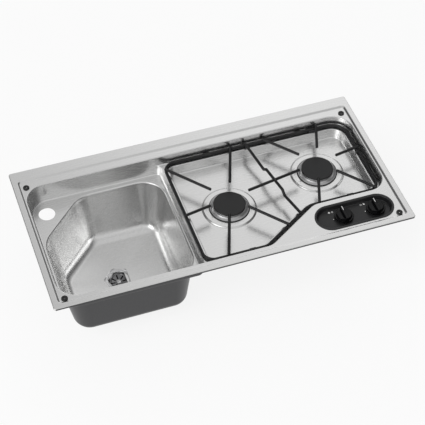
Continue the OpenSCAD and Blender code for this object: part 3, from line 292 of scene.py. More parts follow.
def lathe(name, profile, centre, steps=ROUND_STEPS):
    """Turned piece whose profile is a closed loop of (radius, height)."""
    verts, faces = [], []
    n = len(profile)
    for k in range(steps):
        a = 2 * math.pi * k / steps
        verts += [(centre.x + r * math.cos(a), centre.y + r * math.sin(a), z) for r, z in profile]
        m = (k + 1) % steps
        faces += [(k * n + i, m * n + i, m * n + (i + 1) % n, k * n + (i + 1) % n) for i in range(n)]
    return outward(new_object(name, verts, faces))


def settle(target):
    """Applies the modifiers to the mesh."""
    graph = bpy.context.evaluated_depsgraph_get()
    done = bpy.data.meshes.new_from_object(target.evaluated_get(graph), depsgraph=graph)
    old = target.data
    target.modifiers.clear()
    target.data = done
    bpy.data.meshes.remove(old)


def boolean(target, tools, operation="DIFFERENCE"):
    """Cuts, joins or meets the target with each tool in turn, and removes the tools."""
    for tool in tools:
        change = target.modifiers.new("boolean", "BOOLEAN")
        change.operation = operation
        change.solver = "MANIFOLD"
        change.object = tool
        settle(target)
    for tool in tools:
        bpy.data.meshes.remove(tool.data)
    return target


def shade(made, degrees=32):
    made.data.shade_smooth()
    made.data.set_sharp_from_angle(angle=math.radians(degrees))
    change = made.modifiers.new("weighted", "WEIGHTED_NORMAL")
    change.mode = "FACE_AREA"
    change.weight = 60
    change.keep_sharp = True
    return made


# Materials, each with a fine noise in its roughness, colour and surface
NOISE_DETAIL, BUMP_STRENGTH = 3.0, 0.5
TINT_START, TINT_END = 0.3, 0.7
PLASTIC_SPREAD, PLASTIC_TONE = 0.05, 0.1


def material(name, colour, rough, metallic=0.0, specular=0.5):
    made = bpy.data.materials.new(name)
    made.use_nodes = True
    inputs = shader(made).inputs
    inputs["Base Color"].default_value = (*colour, 1)
    inputs["Roughness"].default_value = rough
    inputs["Metallic"].default_value = metallic
    inputs["Specular IOR Level"].default_value = specular
    return made


def shader(made):
    return made.node_tree.nodes["Principled BSDF"]


def node(made, kind):
    return made.node_tree.nodes.new(kind)


def link(made, a, b):
    made.node_tree.links.new(a, b)


def combine(made, operation, *parts):
    """Math over numbers and sockets, from the first part on."""
    total = parts[0]
    for part in parts[1:]:
        step = node(made, "ShaderNodeMath")
        step.operation = operation
        for socket, value in zip(step.inputs, (total, part)):
            if isinstance(value, float):
                socket.default_value = value
            else:
                link(made, value, socket)
        total = step.outputs[0]
    return total


def stretched_noise(made, stretch, scale=1.0):
    place = node(made, "ShaderNodeTexCoord")
    size = node(made, "ShaderNodeMapping")
    size.inputs["Scale"].default_value = stretch
    noise = node(made, "ShaderNodeTexNoise")
    noise.inputs["Scale"].default_value = scale
    noise.inputs["Detail"].default_value = NOISE_DETAIL
    link(made, place.outputs["Object"], size.inputs["Vector"])
    link(made, size.outputs["Vector"], noise.inputs["Vector"])
    return noise.outputs["Fac"]


def vary_roughness(made, source, low, high):
    span = node(made, "ShaderNodeMapRange")
    span.inputs["To Min"].default_value = low
    span.inputs["To Max"].default_value = high
    link(made, source, span.inputs["Value"])
    link(made, span.outputs["Result"], shader(made).inputs["Roughness"])


def tint(made, source, dark, light):
    ramp = node(made, "ShaderNodeValToRGB")
    for stop, place, colour in zip(ramp.color_ramp.elements, (TINT_START, TINT_END), (dark, light)):
        stop.position = place
        stop.color = (*colour, 1)
    link(made, source, ramp.inputs["Fac"])
    link(made, ramp.outputs["Color"], shader(made).inputs["Base Color"])


def bump(made, source, height):
    relief = node(made, "ShaderNodeBump")
    relief.inputs["Distance"].default_value = height
    relief.inputs["Strength"].default_value = BUMP_STRENGTH
    link(made, source, relief.inputs["Height"])
    link(made, relief.outputs["Normal"], shader(made).inputs["Normal"])


def toned(colour, share):
    return tuple(min(1, c * share) for c in colour)


def grained(made, grain, colour, rough, spread, tone, height):
    vary_roughness(made, grain, rough - spread, rough + spread)
    tint(made, grain, toned(colour, 1 - tone), toned(colour, 1 + tone))
    bump(made, grain, height)
    return made


def metal(name, colour, rough, stretch, spread=0.06, height=2e-6, tone=0.05):
    made = material(name, colour, rough, metallic=1.0)
    return grained(made, stretched_noise(made, stretch), colour, rough, spread, tone, height)


def plastic(name, colour, rough, height=1e-5, scale=900.0, specular=0.5):
    made = material(name, colour, rough, specular=specular)
    grain = stretched_noise(made, (1, 1, 1), scale)
    return grained(made, grain, colour, rough, PLASTIC_SPREAD, PLASTIC_TONE, height)


STEEL = metal(
    "satin_steel", (0.80, 0.80, 0.797), 0.27, (25, 1400, 1400), spread=0.015, height=1e-8, tone=0.012)
BOWL_STEEL = metal(
    "bowl_steel", (0.80, 0.80, 0.797), 0.27, (900, 900, 900), spread=0.02, height=2e-7, tone=0.012)
# Dark steel for the faces under the sheet and the rim's cut edge: painted shade in place of their dark
# reflections
PAINTED_SHADE_STEEL = metal("painted_shade_steel", (0.075, 0.075, 0.077), 0.36, (400, 400, 90), spread=0.04)
FITTING_STEEL = metal("fitting_steel", (0.64, 0.64, 0.645), 0.16, (300, 300, 300))
# Much darker steel for the waste dish's low faces: painted shade in its hollow
STRAINER_SHADE_STEEL = metal("strainer_shade_steel", (0.20, 0.20, 0.205), 0.2, (300, 300, 300))
ZINC = metal("zinc", (0.60, 0.60, 0.61), 0.3, (400, 400, 400))
TAP_METAL = metal("tap_metal", (0.55, 0.54, 0.51), 0.42, (500, 500, 500))
BRASS = metal("brass", (0.72, 0.53, 0.25), 0.3, (400, 400, 400))
COPPER = metal("copper", (0.70, 0.40, 0.25), 0.32, (300, 300, 300))
TUBE = metal("tube", (0.62, 0.62, 0.63), 0.34, (500, 500, 500))
CAST = metal("cast_aluminium", (0.50, 0.50, 0.51), 0.5, (600, 600, 600), height=2e-5)
TURNED = metal("burner_aluminium", (0.56, 0.56, 0.565), 0.36, (300, 300, 1500))
PROBE = metal("probe_steel", (0.75, 0.75, 0.75), 0.15, (300, 300, 300))
RUBBER = plastic("black_rubber", (0.018, 0.018, 0.018), 0.62)
FOAM = plastic("foam", (0.04, 0.04, 0.04), 0.9, scale=600, height=1e-4)
GASKET = plastic("gasket_black", (0.012, 0.012, 0.012), 0.5)
BLACK_PLASTIC = plastic("black_plastic", (0.022, 0.022, 0.024), 0.5)
PANEL_PLASTIC = plastic("panel_plastic", (0.014, 0.014, 0.015), 0.40)
KNOB_PLASTIC = plastic("knob_plastic", (0.003, 0.003, 0.0035), 0.24, height=2e-6, specular=0.22)
ENAMEL = plastic("black_enamel", (0.009, 0.009, 0.0095), 0.48, scale=700, height=4e-5)
WIRE_BLACK = plastic("wire_enamel", (0.006, 0.006, 0.0065), 0.45, scale=400)
WHITE_MARK = plastic("white_mark", (0.80, 0.80, 0.79), 0.5)

FINISH = {
    STEEL: ["top_pressing"],
    BOWL_STEEL: ["sink_bowl"],
    FOAM: ["rim_seal"],
    RUBBER: ["corner_grommets", "waste_gasket", "pan_support_feet"],
    FITTING_STEEL: ["waste_flange", "waste_screw"],
    BLACK_PLASTIC: ["waste_body", "pan_support_clip"],
    PANEL_PLASTIC: ["control_panel"],
    ZINC: ["tap_screws", "burner_screws_1", "burner_screws_2", "spindle_1", "spindle_2"],
    TAP_METAL: ["tap_1", "tap_2"],
    BRASS: ["push_rod_1", "push_rod_2", "gas_inlet", "pipe_nuts", "injector_1", "injector_2"],
    KNOB_PLASTIC: ["knob_1", "knob_2"],
    TUBE: ["gas_rail", "burner_pipe_1", "burner_pipe_2"],
    CAST: ["burner_cup_1", "burner_cup_2"],
    TURNED: ["burner_base_1", "burner_base_2", "burner_crown_1", "burner_crown_2"],
    GASKET: ["burner_gasket_1", "burner_gasket_2"],
    ENAMEL: ["burner_cap_1", "burner_cap_2"],
    PROBE: ["thermocouple_1", "thermocouple_2"],
    COPPER: ["probe_lead_1", "probe_lead_2"],
    WIRE_BLACK: ["pan_support"],
}
for finish, names in FINISH.items():
    for name in names:
        slots = NODES[name].data.materials
        slots.clear()
        slots.append(finish)


def piece(made, body, finish, slot, *replaced):
    made.data.materials.clear()
    made.data.materials.append(finish)
    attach(made, body)
    if replaced:
        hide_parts(*replaced)


def second_finish(made, finish, chosen):
    """Gives another finish to the faces for which chosen says yes."""
    made.data.materials.append(finish)
    for face in made.data.polygons:
        face.material_index = 1 if chosen(face) else 0


# Width of the rim's cut edge, and the steepest upward normals of faces below the sheet and on that edge
EDGE_BAND = 0.3
DOWNWARD, SIDEWAYS = -0.02, 0.3


def on_edge(p):
    """True at the rim's outer edge."""
    x, y = p.x / MM, p.y / MM
    return min(x - LEFT, RIGHT - x, y - FRONT, BACK - y) < EDGE_BAND


def in_painted_shade(face):
    """True outside the pressing and the bowl and on the rim's cut edge, which get a dark steel as painted
    shade.
    """
    return face.normal.z < DOWNWARD or (face.normal.z < SIDEWAYS and on_edge(face.center))


# Pressing
def weld_inset(grow):
    """Inset of the bowl's wall at the weld."""
    return BOWL_LEAN * (FLOOR_Z - WELD_Z) - grow / math.cos(math.atan(BOWL_LEAN))


def mouth(grow, tag):
    """The bowl's mouth, from the sink deck's lip down to the weld."""
    lip = lip_profile(FLOOR_Z, BOWL_LEAN, MOUTH_R, grow)
    end = weld_inset(grow)
    profile = [(lip[0][0], FLOOR_Z if grow else FLOOR_Z + CUT), *lip, (end, WELD_Z)]
    if not grow:
        profile.append((end, WELD_Z - CUT))
    return loft("mouth_" + tag, BOWL, profile)


def pockets(grow):
    tag = "metal" if grow else "air"
    return [
        loft("recess_" + tag, RECESS, pocket_profile(DECK_Z, LEDGE_Z, LIP_R, grow)),
        loft("sink_" + tag, SINK, pocket_profile(DECK_Z, FLOOR_Z, LIP_R, grow)),
        loft("well_" + tag, WELL, pocket_profile(LEDGE_Z, FLOOR_Z, RIDGE_R, grow)),
        mouth(grow, tag),
    ]


def ridge_edge():
    """The air over the ridge's rounded edge, on the sink's side."""
    inset = WALL_LEAN * (DECK_Z - LEDGE_Z)
    lip = [(inset + x, z) for x, z in lip_profile(LEDGE_Z, WALL_LEAN, RIDGE_R, 0)]
    air = [(lip[0][0], LEDGE_Z + CUT), *lip, (inset + FOOT_R, LEDGE_Z - RIDGE_R)]
    keep = [(inset + RIDGE_GAP, z) for z in (LEDGE_Z + 2 * CUT, LEDGE_Z - RIDGE_R - CUT)]
    return boolean(loft("ridge_air", SINK, air), [loft("ridge_keep", RECESS, keep)], "INTERSECT")


def slope_profile(drop):
    """The step from the rim's flat band down to the deck."""
    return double_bend(0, SLOPE_W, RIM_Z - drop, DECK_Z - drop)


def seat_profile():
    """The raised seat under a burner, as a ring of sheet."""
    slope = double_bend(SEAT_R - SEAT_SLOPE_W, SEAT_SLOPE_W, SEAT_Z, FLOOR_Z)
    top = [(SEAT_HOLE_R, SEAT_Z), *slope, (SEAT_R + SHEET, FLOOR_Z)]
    return top + [(x, z - SHEET) for x, z in reversed(top)]


def sheet_hole(outline, z):
    """Cutter through the sheet whose upper face is at z."""
    return prism("hole", outline, z - SHEET - CUT, z + CUT)


def build_pressing():
    edge = arc_line(0, RIM_Z - RIM_EDGE_R, RIM_EDGE_R, 0, 90, EDGE_STEPS)
    made = loft("pressing", RIM, [(0, 0)] + [(RIM_EDGE_R - x, z) for x, z in edge])
    boolean(made, [loft("under", RIM, [(SHEET, -CUT), (SHEET, RIM_Z - SHEET)])])
    slope = [(0, RIM_Z - SHEET / 2), *slope_profile(SHEET)]
    boolean(made, [loft("slope", SLOPE, slope), *pockets(SHEET)], "UNION")
    slope_air = [(0, RIM_Z + CUT), *slope_profile(0)]
    boolean(made, [loft("slope_air", SLOPE, slope_air), *pockets(0), ridge_edge()])
    low, high = FLOOR_Z - SHEET - CUT, FLOOR_Z + SHEET + CUT
    boolean(made, [cylinder("seat_cut", p, SEAT_R, low, high) for p in BURNERS])
    boolean(made, [lathe("seat", seat_profile(), p) for p in BURNERS], "UNION")
    holes = [sheet_hole(circle(TAP_HOLE, TAP_HOLE_R), FLOOR_Z)]
    holes += [sheet_hole(circle(p, FIXING_R, HOLE_STEPS), DECK_Z) for p in FIXINGS]
    holes += [sheet_hole([PANEL + q for q in obround(*TRAY_HOLE)], DECK_Z)]
    holes += [sheet_hole(circle(p, PROBE_R, HOLE_STEPS), SEAT_Z) for p in PROBES]
    boolean(made, holes)
    piece(shade(made), "unit", STEEL, "stainless_sheet", "top_pressing")
    # The faces under the sheet and the rim's cut edge get the dark steel of painted shade
    second_finish(made, PAINTED_SHADE_STEEL, in_painted_shade)


build_pressing()

# Bowl, as one skin inside and one outside
WASTE_R, WASTE_HOLE_R, WASTE_Z = 34.4, 26, DRAIN_Z - 3
ROUND_INSET = 60


def towards_waste(q, r):
    """The point at radius r about the waste that looks towards q."""
    return WASTE + (q - WASTE).normalized() * r


def bowl_rings(grow):
    wall = [(weld_inset(grow), WELD_Z)]
    wall += foot_profile(FLOOR_Z, BOWL_Z, BOWL_LEAN, BOWL_FOOT_R, grow, BOWL_FOOT_STEPS)
    rings = []
    for inset, z in wall:
        move = BOWL_SHIFT * ((WELD_Z - z) / (WELD_Z - BOWL_Z))
        rings.append([at(q + move, z) for q in ring(BOWL, inset)])
    foot = [q.xy for q in rings[-1]]
    for i in range(1, BOWL_FLOOR_STEPS + 1):
        t = i / BOWL_FLOOR_STEPS
        z = BOWL_Z - grow - (BOWL_Z - DRAIN_Z) * (1 - (1 - t) ** 2)
        rings.append([at(q.lerp(towards_waste(q, WASTE_R + grow), t), z) for q in foot])
    return rings


def round_ring(r, z):
    """Ring about the waste with a point for each point of the bowl's rings."""
    return [at(towards_waste(q + BOWL_SHIFT, r), z) for q in ring(BOWL, ROUND_INSET)]


def build_bowl():
    inner = bowl_rings(0) + [round_ring(WASTE_R, WASTE_Z), round_ring(WASTE_HOLE_R, WASTE_Z)]
    outer = bowl_rings(SHEET) + [
        round_ring(WASTE_R + SHEET, WASTE_Z - SHEET),
        round_ring(WASTE_HOLE_R, WASTE_Z - SHEET),
    ]
    rings = inner + list(reversed(outer))
    made = skin("bowl", rings + [rings[0]], closed_ends=False)
    piece(shade(made), "unit", BOWL_STEEL, "stainless_sheet", "sink_bowl")
    # The bowl's outside faces get the dark steel of painted shade
    second_finish(made, PAINTED_SHADE_STEEL, in_painted_shade)


build_bowl()

# Waste: the strainer dish with its slots, and the screw in its middle
DISH_LOW, DISH_SHEET, DISH_SEAT_R, DISH_EDGE_R = WASTE_Z - 9, 1.2, 3.0, 1.5
DISH = [(r, DISH_LOW + h) for r, h in ((3, DISH_SHEET), (14, DISH_SHEET), (19, 1.9), (22.6, 4), (24.2, 7))]
DISH += arc_line(27.4, WASTE_Z - 1.2, DISH_SEAT_R, 175, 90) + [(30.5, WASTE_Z + 1.9)]
DISH += arc_line(32.5, WASTE_Z + 1.5, DISH_EDGE_R, 130, -90, 10) + [(25.6, WASTE_Z)]
DISH += [(r, DISH_LOW + h) for r, h in ((25.6, 6), (24, 3), (20, 0.6), (16, 0), (3, 0))]
STRAINER_Z = WASTE_Z - 2.5
SLOTS, SLOT_REACH, SLOT_SIZE, SLOT_LOW = 8, 14.5, (12.5, 3.4), DISH_LOW - 3
HEAD_Z, HEAD_R, HEAD_EDGE_Z, HEAD_EDGE_R = DISH_LOW + DISH_SHEET, 6, DISH_LOW + DISH_SHEET + 1, 1.6
SCREW_R, SCREW_END = 2.9, DISH_LOW - 19.8
SCREW = [(AXIS_R, SCREW_END), (SCREW_R, SCREW_END)]
SCREW += [(SCREW_R, HEAD_Z), (HEAD_R, HEAD_Z), (HEAD_R, HEAD_EDGE_Z)]
SCREW += arc_line(HEAD_R - HEAD_EDGE_R, HEAD_EDGE_Z, HEAD_EDGE_R, 10, 80)
SCREW += [(3, HEAD_Z + 2.9), (AXIS_R, HEAD_Z + 3)]
SLIT = ((-8, -0.7), (8, -0.7), (8, 0.7), (-8, 0.7))
SLIT_LOW, SLIT_HIGH = HEAD_Z + 1.6, HEAD_Z + 6


def build_dish():
    made = lathe("waste_dish", DISH, WASTE, steps=72)
    slots = []
    for k in range(SLOTS):
        turn = Matrix.Rotation(2 * math.pi * k / SLOTS, 2)
        outline = [WASTE + turn @ (Vector((SLOT_REACH, 0)) + q) for q in obround(*SLOT_SIZE, steps=8)]
        slots.append(prism("slot", outline, SLOT_LOW, WASTE_Z))
    boolean(made, slots)
    piece(shade(made), "unit", FITTING_STEEL, "waste_steel", "waste_flange")
    # The dish's faces below STRAINER_Z get the darker steel: painted shade in the hollow
    second_finish(made, STRAINER_SHADE_STEEL, lambda face: face.center.z < STRAINER_Z * MM)


def build_screw():
    made = turned_solid("waste_screw_turned", SCREW, WASTE, steps=40)
    boolean(made, [prism("slit", [WASTE + Vector(q) for q in SLIT], SLIT_LOW, SLIT_HIGH)])
    piece(shade(made), "unit", FITTING_STEEL, "waste_steel", "waste_screw")


build_dish()
build_screw()

# Grommets, with heights over the deck
GROMMET = [(2.25, -2), (6.4, -2), (6.4, -1), (4.5, -1), (4.5, 0), (7.4, 0)]
GROMMET += arc_line(6.2, 1.3, 1.3, -10, 90) + arc_line(4.2, 1.3, 1.3, 90, 140, 3)
GROMMET += [(2.6, 2.2), (2.25, 1.9)]


def build_grommets():
    line = [(r, DECK_Z + h) for r, h in GROMMET]
    for k, p in enumerate(FIXINGS):
        made = lathe(f"grommet_{k + 1}", line, p, steps=48)
        piece(shade(made), "unit", RUBBER, "black_rubber", *(["corner_grommets"] if k == 0 else []))


build_grommets()

# Control panel: a sunken tray with a rolled edge, and generic marks printed in it
TRAY_TOP, TRAY_FLOOR, TRAY_LOW = DECK_Z + 1.6, -8.0, -10.0
TRAY_EDGE_R, TRAY_LIP_R, TRAY_FOOT_R = 0.8, 3.0, 2.0
ROD_HOLE_R = 6.4
TRAY = [(12.0, TRAY_LOW), (6.9, TRAY_LOW), (4.4, DECK_Z), (0.0, DECK_Z)]
TRAY += [(TRAY_EDGE_R - x, z) for x, z in arc_line(0, TRAY_TOP - TRAY_EDGE_R, TRAY_EDGE_R, 0, 90, 4)]
TRAY += arc_line(3.4, TRAY_TOP - TRAY_LIP_R, TRAY_LIP_R, 90, 8)
TRAY += arc_line(10.2, TRAY_FLOOR + TRAY_FOOT_R, TRAY_FOOT_R, 188, 270)
MARK_LOW, MARK_HIGH, MARK_SOFT = -8.03, -7.94, 0.03
MARK_R, MARK_HOLE_R, OFF_R = 2.3, 1.5, 1.1
MARK_X, MARK_Y, MARK_STEP = -27.5, 23.8, 7.8
OFF_PLACE = Vector((-25.0, 1.4))


def build_panel():
    length, width = TRAY_SIZE
    rings = []
    for inset, z in TRAY:
        outline = obround(length - 2 * inset, width - 2 * inset)
        rings.append(flat([PANEL + q for q in outline], z))
    made = skin("control_tray", rings)
    low, high = TRAY_LOW - 2 * CUT, TRAY_FLOOR + CUT
    boolean(made, [cylinder("hole", p, ROD_HOLE_R, low, high, steps=48) for p in KNOBS])
    piece(shade(made), "unit", PANEL_PLASTIC, "panel_plastic", "control_panel")


def puck(r, inner):
    """Section of a mark, a thin disc or ring with a softened upper edge."""
    side = [(inner, MARK_LOW), (r, MARK_LOW), (r, MARK_HIGH - MARK_SOFT)]
    return side + [(r - MARK_SOFT, MARK_HIGH), (inner + MARK_SOFT, MARK_HIGH)]


def build_marks():
    """Which burner a knob feeds, as one full and one open dot, and the off dot."""
    for i, p in enumerate(KNOBS):
        for k in range(2):
            kind, inner = ("full", AXIS_R) if k == i else ("open", MARK_HOLE_R)
            centre = p + Vector((MARK_X + MARK_STEP * k, MARK_Y))
            made = lathe(f"mark_{i + 1}_{kind}", puck(MARK_R, inner), centre, steps=40)
            piece(shade(made), "unit", WHITE_MARK, "panel_plastic")
        made = lathe(f"mark_{i + 1}_off", puck(OFF_R, AXIS_R), p + OFF_PLACE, steps=32)
        piece(shade(made), "unit", WHITE_MARK, "panel_plastic")


build_panel()
build_marks()

# Knobs: a toothed skirt, a drum and a grip bar; bores are (radius, low, high)
TEETH = 40
TOOTH = ((0.0, 1.0), (0.2, 0.25), (0.35, 0.0), (0.65, 0.0), (0.8, 0.25))
SKIRT = [(22.1, -3.5), (22.5, -3.1), (22.5, -0.8), (22.0, 0.0)]
DRUM = [(18.9, -1.0), (18.9, 0.4), (18.4, 0.6), (17.9, 4.3)]
DRUM += arc_line(16.2, 4.2, 1.6, 10, 90) + [(12.0, 5.5), (6.0, 5.3)]
GRIP_PLACE, POINTER_PLACE = Vector((0, -1.5)), Vector((0, 11.5))
GRIP = dict(size=(8, 39), corner_r=2.2, low=1.0, high=12.0, top_r=1.4)
POINTER = dict(size=(1.5, 12), corner_r=0.5, low=11.9, high=12.06, top_r=0.05)
HOLLOW, CORE, BORE = (16, -5, 1.5), (7.5, -6, 3), (4.04, -5, 5.5)


def rounded_block(name, centre, size, corner_r, low, high, top_r):
    w, d = size[0] / 2, size[1] / 2
    outline = rectangle(centre.x - w, centre.y - d, centre.x + w, centre.y + d, corner_r)
    profile = [(0, low)] + [(top_r - x, z) for x, z in arc_line(0, high - top_r, top_r, 0, 90)]
    return skin(name, [flat(ring(outline, inset, steps=6), z) for inset, z in profile])


def toothed(centre, r):
    """Toothed circle; TOOTH has the points of one tooth as (share of its width, depth)."""
    return [
        centre + polar(r - depth, 2 * math.pi * (k + share) / TEETH)
        for k in range(TEETH)
        for share, depth in TOOTH
    ]


def build_knob(i):
    p, name = KNOBS[i], f"knob_{i + 1}"
    made = skin(name + "_body", [flat(toothed(p, r), z) for r, z in SKIRT])
    grip = rounded_block("grip", p + GRIP_PLACE, **GRIP)
    boolean(made, [turned_solid("drum", DRUM, p), grip], "UNION")
    hollow = boolean(cylinder("hollow", p, *HOLLOW), [cylinder("core", p, *CORE)])
    boolean(made, [hollow, cylinder("bore", p, *BORE, steps=48)])
    piece(shade(made), name, KNOB_PLASTIC, "knob_plastic", name)
    pointer = rounded_block(name + "_pointer", p + POINTER_PLACE, **POINTER)
    piece(shade(pointer), name, WHITE_MARK, "knob_plastic")


for i in range(len(KNOBS)):
    build_knob(i)

# Burners: profiles of (radius, height)
BASE = [(14, -51), (34, -51), (34, -43.5), (46.4, -43.5)]
BASE += arc_line(46.4, -42.9, 0.6, -90, 40, 4) + arc_line(47.8, -32.0, 10.4, 262, 218, 6)
BASE += [(38.6, -38.25), (38.2, -38.0), (33, -38), (33, -40.5), (14, -40.5)]
BASE_RING = [(40, -45), (49, -45)] + arc_line(48.4, -44.1, 0.6, 0, 90, 3) + [(40, -43.5)]
CAP_TOP = -31.0
CAP = [(AXIS_R, -37.5), (23.6, -37.5), (23.6, -35), (37.6, -35)]
CAP += arc_line(37.1, -33.6, 1.4, -80, -5, 4) + arc_line(37.0, -32.5, 1.5, 5, 84, 6)
CAP += [(r, CAP_TOP) for r in (34, 20, 8, AXIS_R)]
PROBE_LOW, PROBE_HIGH = -52, -30


def build_burner(i):
    p, tag = BURNERS[i], i + 1
    base = lathe(f"burner_{tag}_base", BASE, p)
    boolean(base, [cylinder("hole", PROBES[i], PROBE_R, PROBE_LOW, PROBE_HIGH, HOLE_STEPS)])
    piece(shade(base), "unit", TURNED, "burner_aluminium", f"burner_base_{tag}")
    gasket = lathe(f"burner_{tag}_gasket", BASE_RING, p)
    piece(shade(gasket), "unit", GASKET, "gasket_black", f"burner_gasket_{tag}")
    cap = turned_solid(f"burner_{tag}_cap", CAP, p)
    piece(shade(cap), f"cap_{tag}", ENAMEL, "black_enamel", f"burner_cap_{tag}")


for i in range(len(BURNERS)):
    build_burner(i)

# Pan support: prong angles are in degrees from the line through both burners
WIRE_R = 3.5
FRAME_Z, PRONG_Z = -18.0, -12.0
PRONG_REACH = 51
PRONG_ANGLES = ((60, 120, 180, 240, 300), (0, 60, 120, 240, 300))
STEP_REACH, STEP_DROP, STEP_BEND_R = 46, 6.0, 9

# A bar's rounded end: its length against the radius, and loops of (place in it, share of the radius)
END_SHARE = 0.22
ENDS = ((0, 0.55), (0.12, 0.78), (0.45, 0.93))

# How far a bar may lean to the direction that its loops start from, and the share of a leg a bend takes
STEEP, LEG_SHARE = 0.9, 0.48


def bar_loop(place, r, sides, back=0, share=1):
    """Circle about a place on a bar, moved along it by back; share is its size against the bar's."""
    middle, way, first, second = place
    middle = middle + way * back * (END_SHARE * r) * 2
    turns = [2 * math.pi * m / sides for m in range(sides)]
    return [middle + r * share * (math.cos(a) * first + math.sin(a) * second) for a in turns]


def tube(name, points, r, sides=20, closed=False):
    """Round bar along a path of points, with slightly rounded cut ends."""
    n = len(points)
    side = Vector((0, 0, 1))
    places = []
    for k, q in enumerate(points):
        before = points[k - 1] if closed or k else points[0]
        after = points[(k + 1) % n] if closed or k < n - 1 else points[-1]
        way = (after - before).normalized()
        if abs(side.dot(way)) > STEEP:
            side = Vector((1, 0, 0))
        first = (side - way * side.dot(way)).normalized()
        places.append((q, way, first, way.cross(first)))
    lines = [bar_loop(place, r, sides) for place in places]
    if closed:
        return skin(name, lines + [lines[0]], closed_ends=False)
    lines[0] = bar_loop(places[0], r, sides, 1)
    lines[-1] = bar_loop(places[-1], r, sides, -1)
    starts = [bar_loop(places[0], r, sides, back, share) for back, share in ENDS]
    ends = [bar_loop(places[-1], r, sides, -back, share) for back, share in reversed(ENDS)]
    return skin(name, starts + lines + ends)


def rounded_path(points, r, steps=8):
    """Path with each inner corner turned into an arc."""
    path = [points[0]]
    for before, here, after in zip(points, points[1:], points[2:]):
        a, b = (before - here).normalized(), (after - here).normalized()
        half = a.angle(b) / 2
        leg = min((before - here).length, (after - here).length)
        far = min(r / math.tan(half), LEG_SHARE * leg)
        real = far * math.tan(half)
        centre = here + (a + b).normalized() * (real / math.sin(half))
        u, v = here + a * far - centre, here + b * far - centre
        path += [centre + u.slerp(v, m / steps) for m in range(steps + 1)]
    path.append(points[-1])
    return path


def reach(p, angle):
    """How far the frame's line is from p in one direction."""
    way = polar(1, angle)
    best = math.inf
    for k, here in enumerate(FRAME_LINE):
        a, b = Vector(here[:2]), Vector(FRAME_LINE[(k + 1) % len(FRAME_LINE)][:2])
        n = edge_normal(a, b)
        if n.dot(way) > 0:
            far = n.dot(a - p) / n.dot(way)
            along = (p + far * way - a).dot(b - a) / (b - a).length_squared
            if 0 <= along <= 1:
                best = min(best, far)
    return best


def prong(*points):
    return tube("prong", flat(points, PRONG_Z), WIRE_R)


def cross_bar(middle):
    """The bar between the burners, with a lower middle part."""
    across = polar(1, BAR_ANGLE + math.pi / 2)
    ends = [side * (reach(middle, BAR_ANGLE + side * math.pi / 2) + WIRE_R) for side in (-1, 1)]
    stops = [
        (ends[0], 0),
        (-STEP_REACH, 0),
        (-STEP_REACH + STEP_DROP, -STEP_DROP),
        (STEP_REACH - STEP_DROP, -STEP_DROP),
        (STEP_REACH, 0),
        (ends[1], 0),
    ]
    path = [at(middle + across * t, PRONG_Z + z) for t, z in stops]
    return tube("bar", rounded_path(path, STEP_BEND_R), WIRE_R)


def build_pan_support():
    made = tube("pan_support_wires", flat(ring(FRAME_LINE, 0), FRAME_Z), WIRE_R, closed=True)
    wires = []
    for p, angles in zip(BURNERS, PRONG_ANGLES):
        for degrees in angles:
            a = BAR_ANGLE + math.radians(degrees)
            near, far = p + polar(PRONG_REACH, a), p + polar(reach(p, a) + WIRE_R, a)
            wires.append(prong(near, near.lerp(far, 0.5), far))
    middle = (BURNERS[0] + BURNERS[1]) / 2
    half = (BAR.length / 2 - PRONG_REACH) * polar(1, BAR_ANGLE)
    wires += [prong(middle - half, middle, middle + half), cross_bar(middle)]
    boolean(made, wires, "UNION")
    piece(shade(made, degrees=40), "pan_support", WIRE_BLACK, "black_wire", "pan_support")


build_pan_support()

# Leads of the thermocouples, as smooth capillary tube on the CAD's route
LEAD_R, LEAD_BEND_R, SOCKET = 1.4, 12, Vector((-7, 0))
LEAD_TOP, LEAD_LOW, SOCKET_LOW, SOCKET_TOP = -63, -88.5, -64, -43


def build_lead(i):
    probe, socket = PROBES[i], KNOBS[i] + SOCKET
    stops = [at(probe, LEAD_TOP), at(probe, LEAD_LOW), at(socket, SOCKET_LOW), at(socket, SOCKET_TOP)]
    made = tube(f"lead_{i + 1}", rounded_path(stops, LEAD_BEND_R, steps=12), LEAD_R, sides=16)
    piece(shade(made), "unit", COPPER, "copper", f"probe_lead_{i + 1}")


for i in range(len(PROBES)):
    build_lead(i)


# Camera: solved on the rim's four corners in the photograph, in metres
def place_camera():
    azimuth, elevation, roll = 0.34313, 0.83246, 0.01437
    distance, shift_x, shift_y = 3.17954, -0.0066099, 0.0406888
    focal_px, frame_px, sensor = 1360.56, 425, 36
    centre = Vector((0, 0.014, 0.005))
    look = Vector((
        math.sin(azimuth) * math.cos(elevation),
        math.cos(azimuth) * math.cos(elevation),
        -math.sin(elevation),
    ))
    level = Vector((math.cos(azimuth), -math.sin(azimuth), 0))
    upward = level.cross(look)
    right = math.cos(roll) * level + math.sin(roll) * upward
    up = -math.sin(roll) * level + math.cos(roll) * upward
    data = bpy.data.cameras.new("camera")
    data.sensor_width = sensor
    data.lens = sensor * focal_px / frame_px
    camera = placed("camera", data)
    turn = Matrix((right, up, -look)).transposed()
    eye = centre - distance * look - shift_x * right - shift_y * up
    camera.matrix_world = Matrix.Translation(eye) @ turn.to_4x4()
    bpy.context.scene.camera = camera


# Lamps, with places in metres
def lamp(name, kind, energy, way):
    data = bpy.data.lights.new(name, kind)
    data.energy = energy
    made = placed(name, data)
    made.rotation_mode = "QUATERNION"
    made.rotation_quaternion = way.to_track_quat("-Z", "Y")
    return made


def area_lamp(name, size, place, aim, watts):
    made = lamp(name, "AREA", watts, Vector(aim) - Vector(place))
    made.location = place
    made.data.shape = "RECTANGLE"
    made.data.size, made.data.size_y = size


def sun(name, way, strength, degrees):
    """Soft sun that lights and casts shadows, but shows in no reflection."""
    made = lamp(name, "SUN", strength, Vector(way))
    made.data.angle = math.radians(degrees)
    made.visible_glossy = False


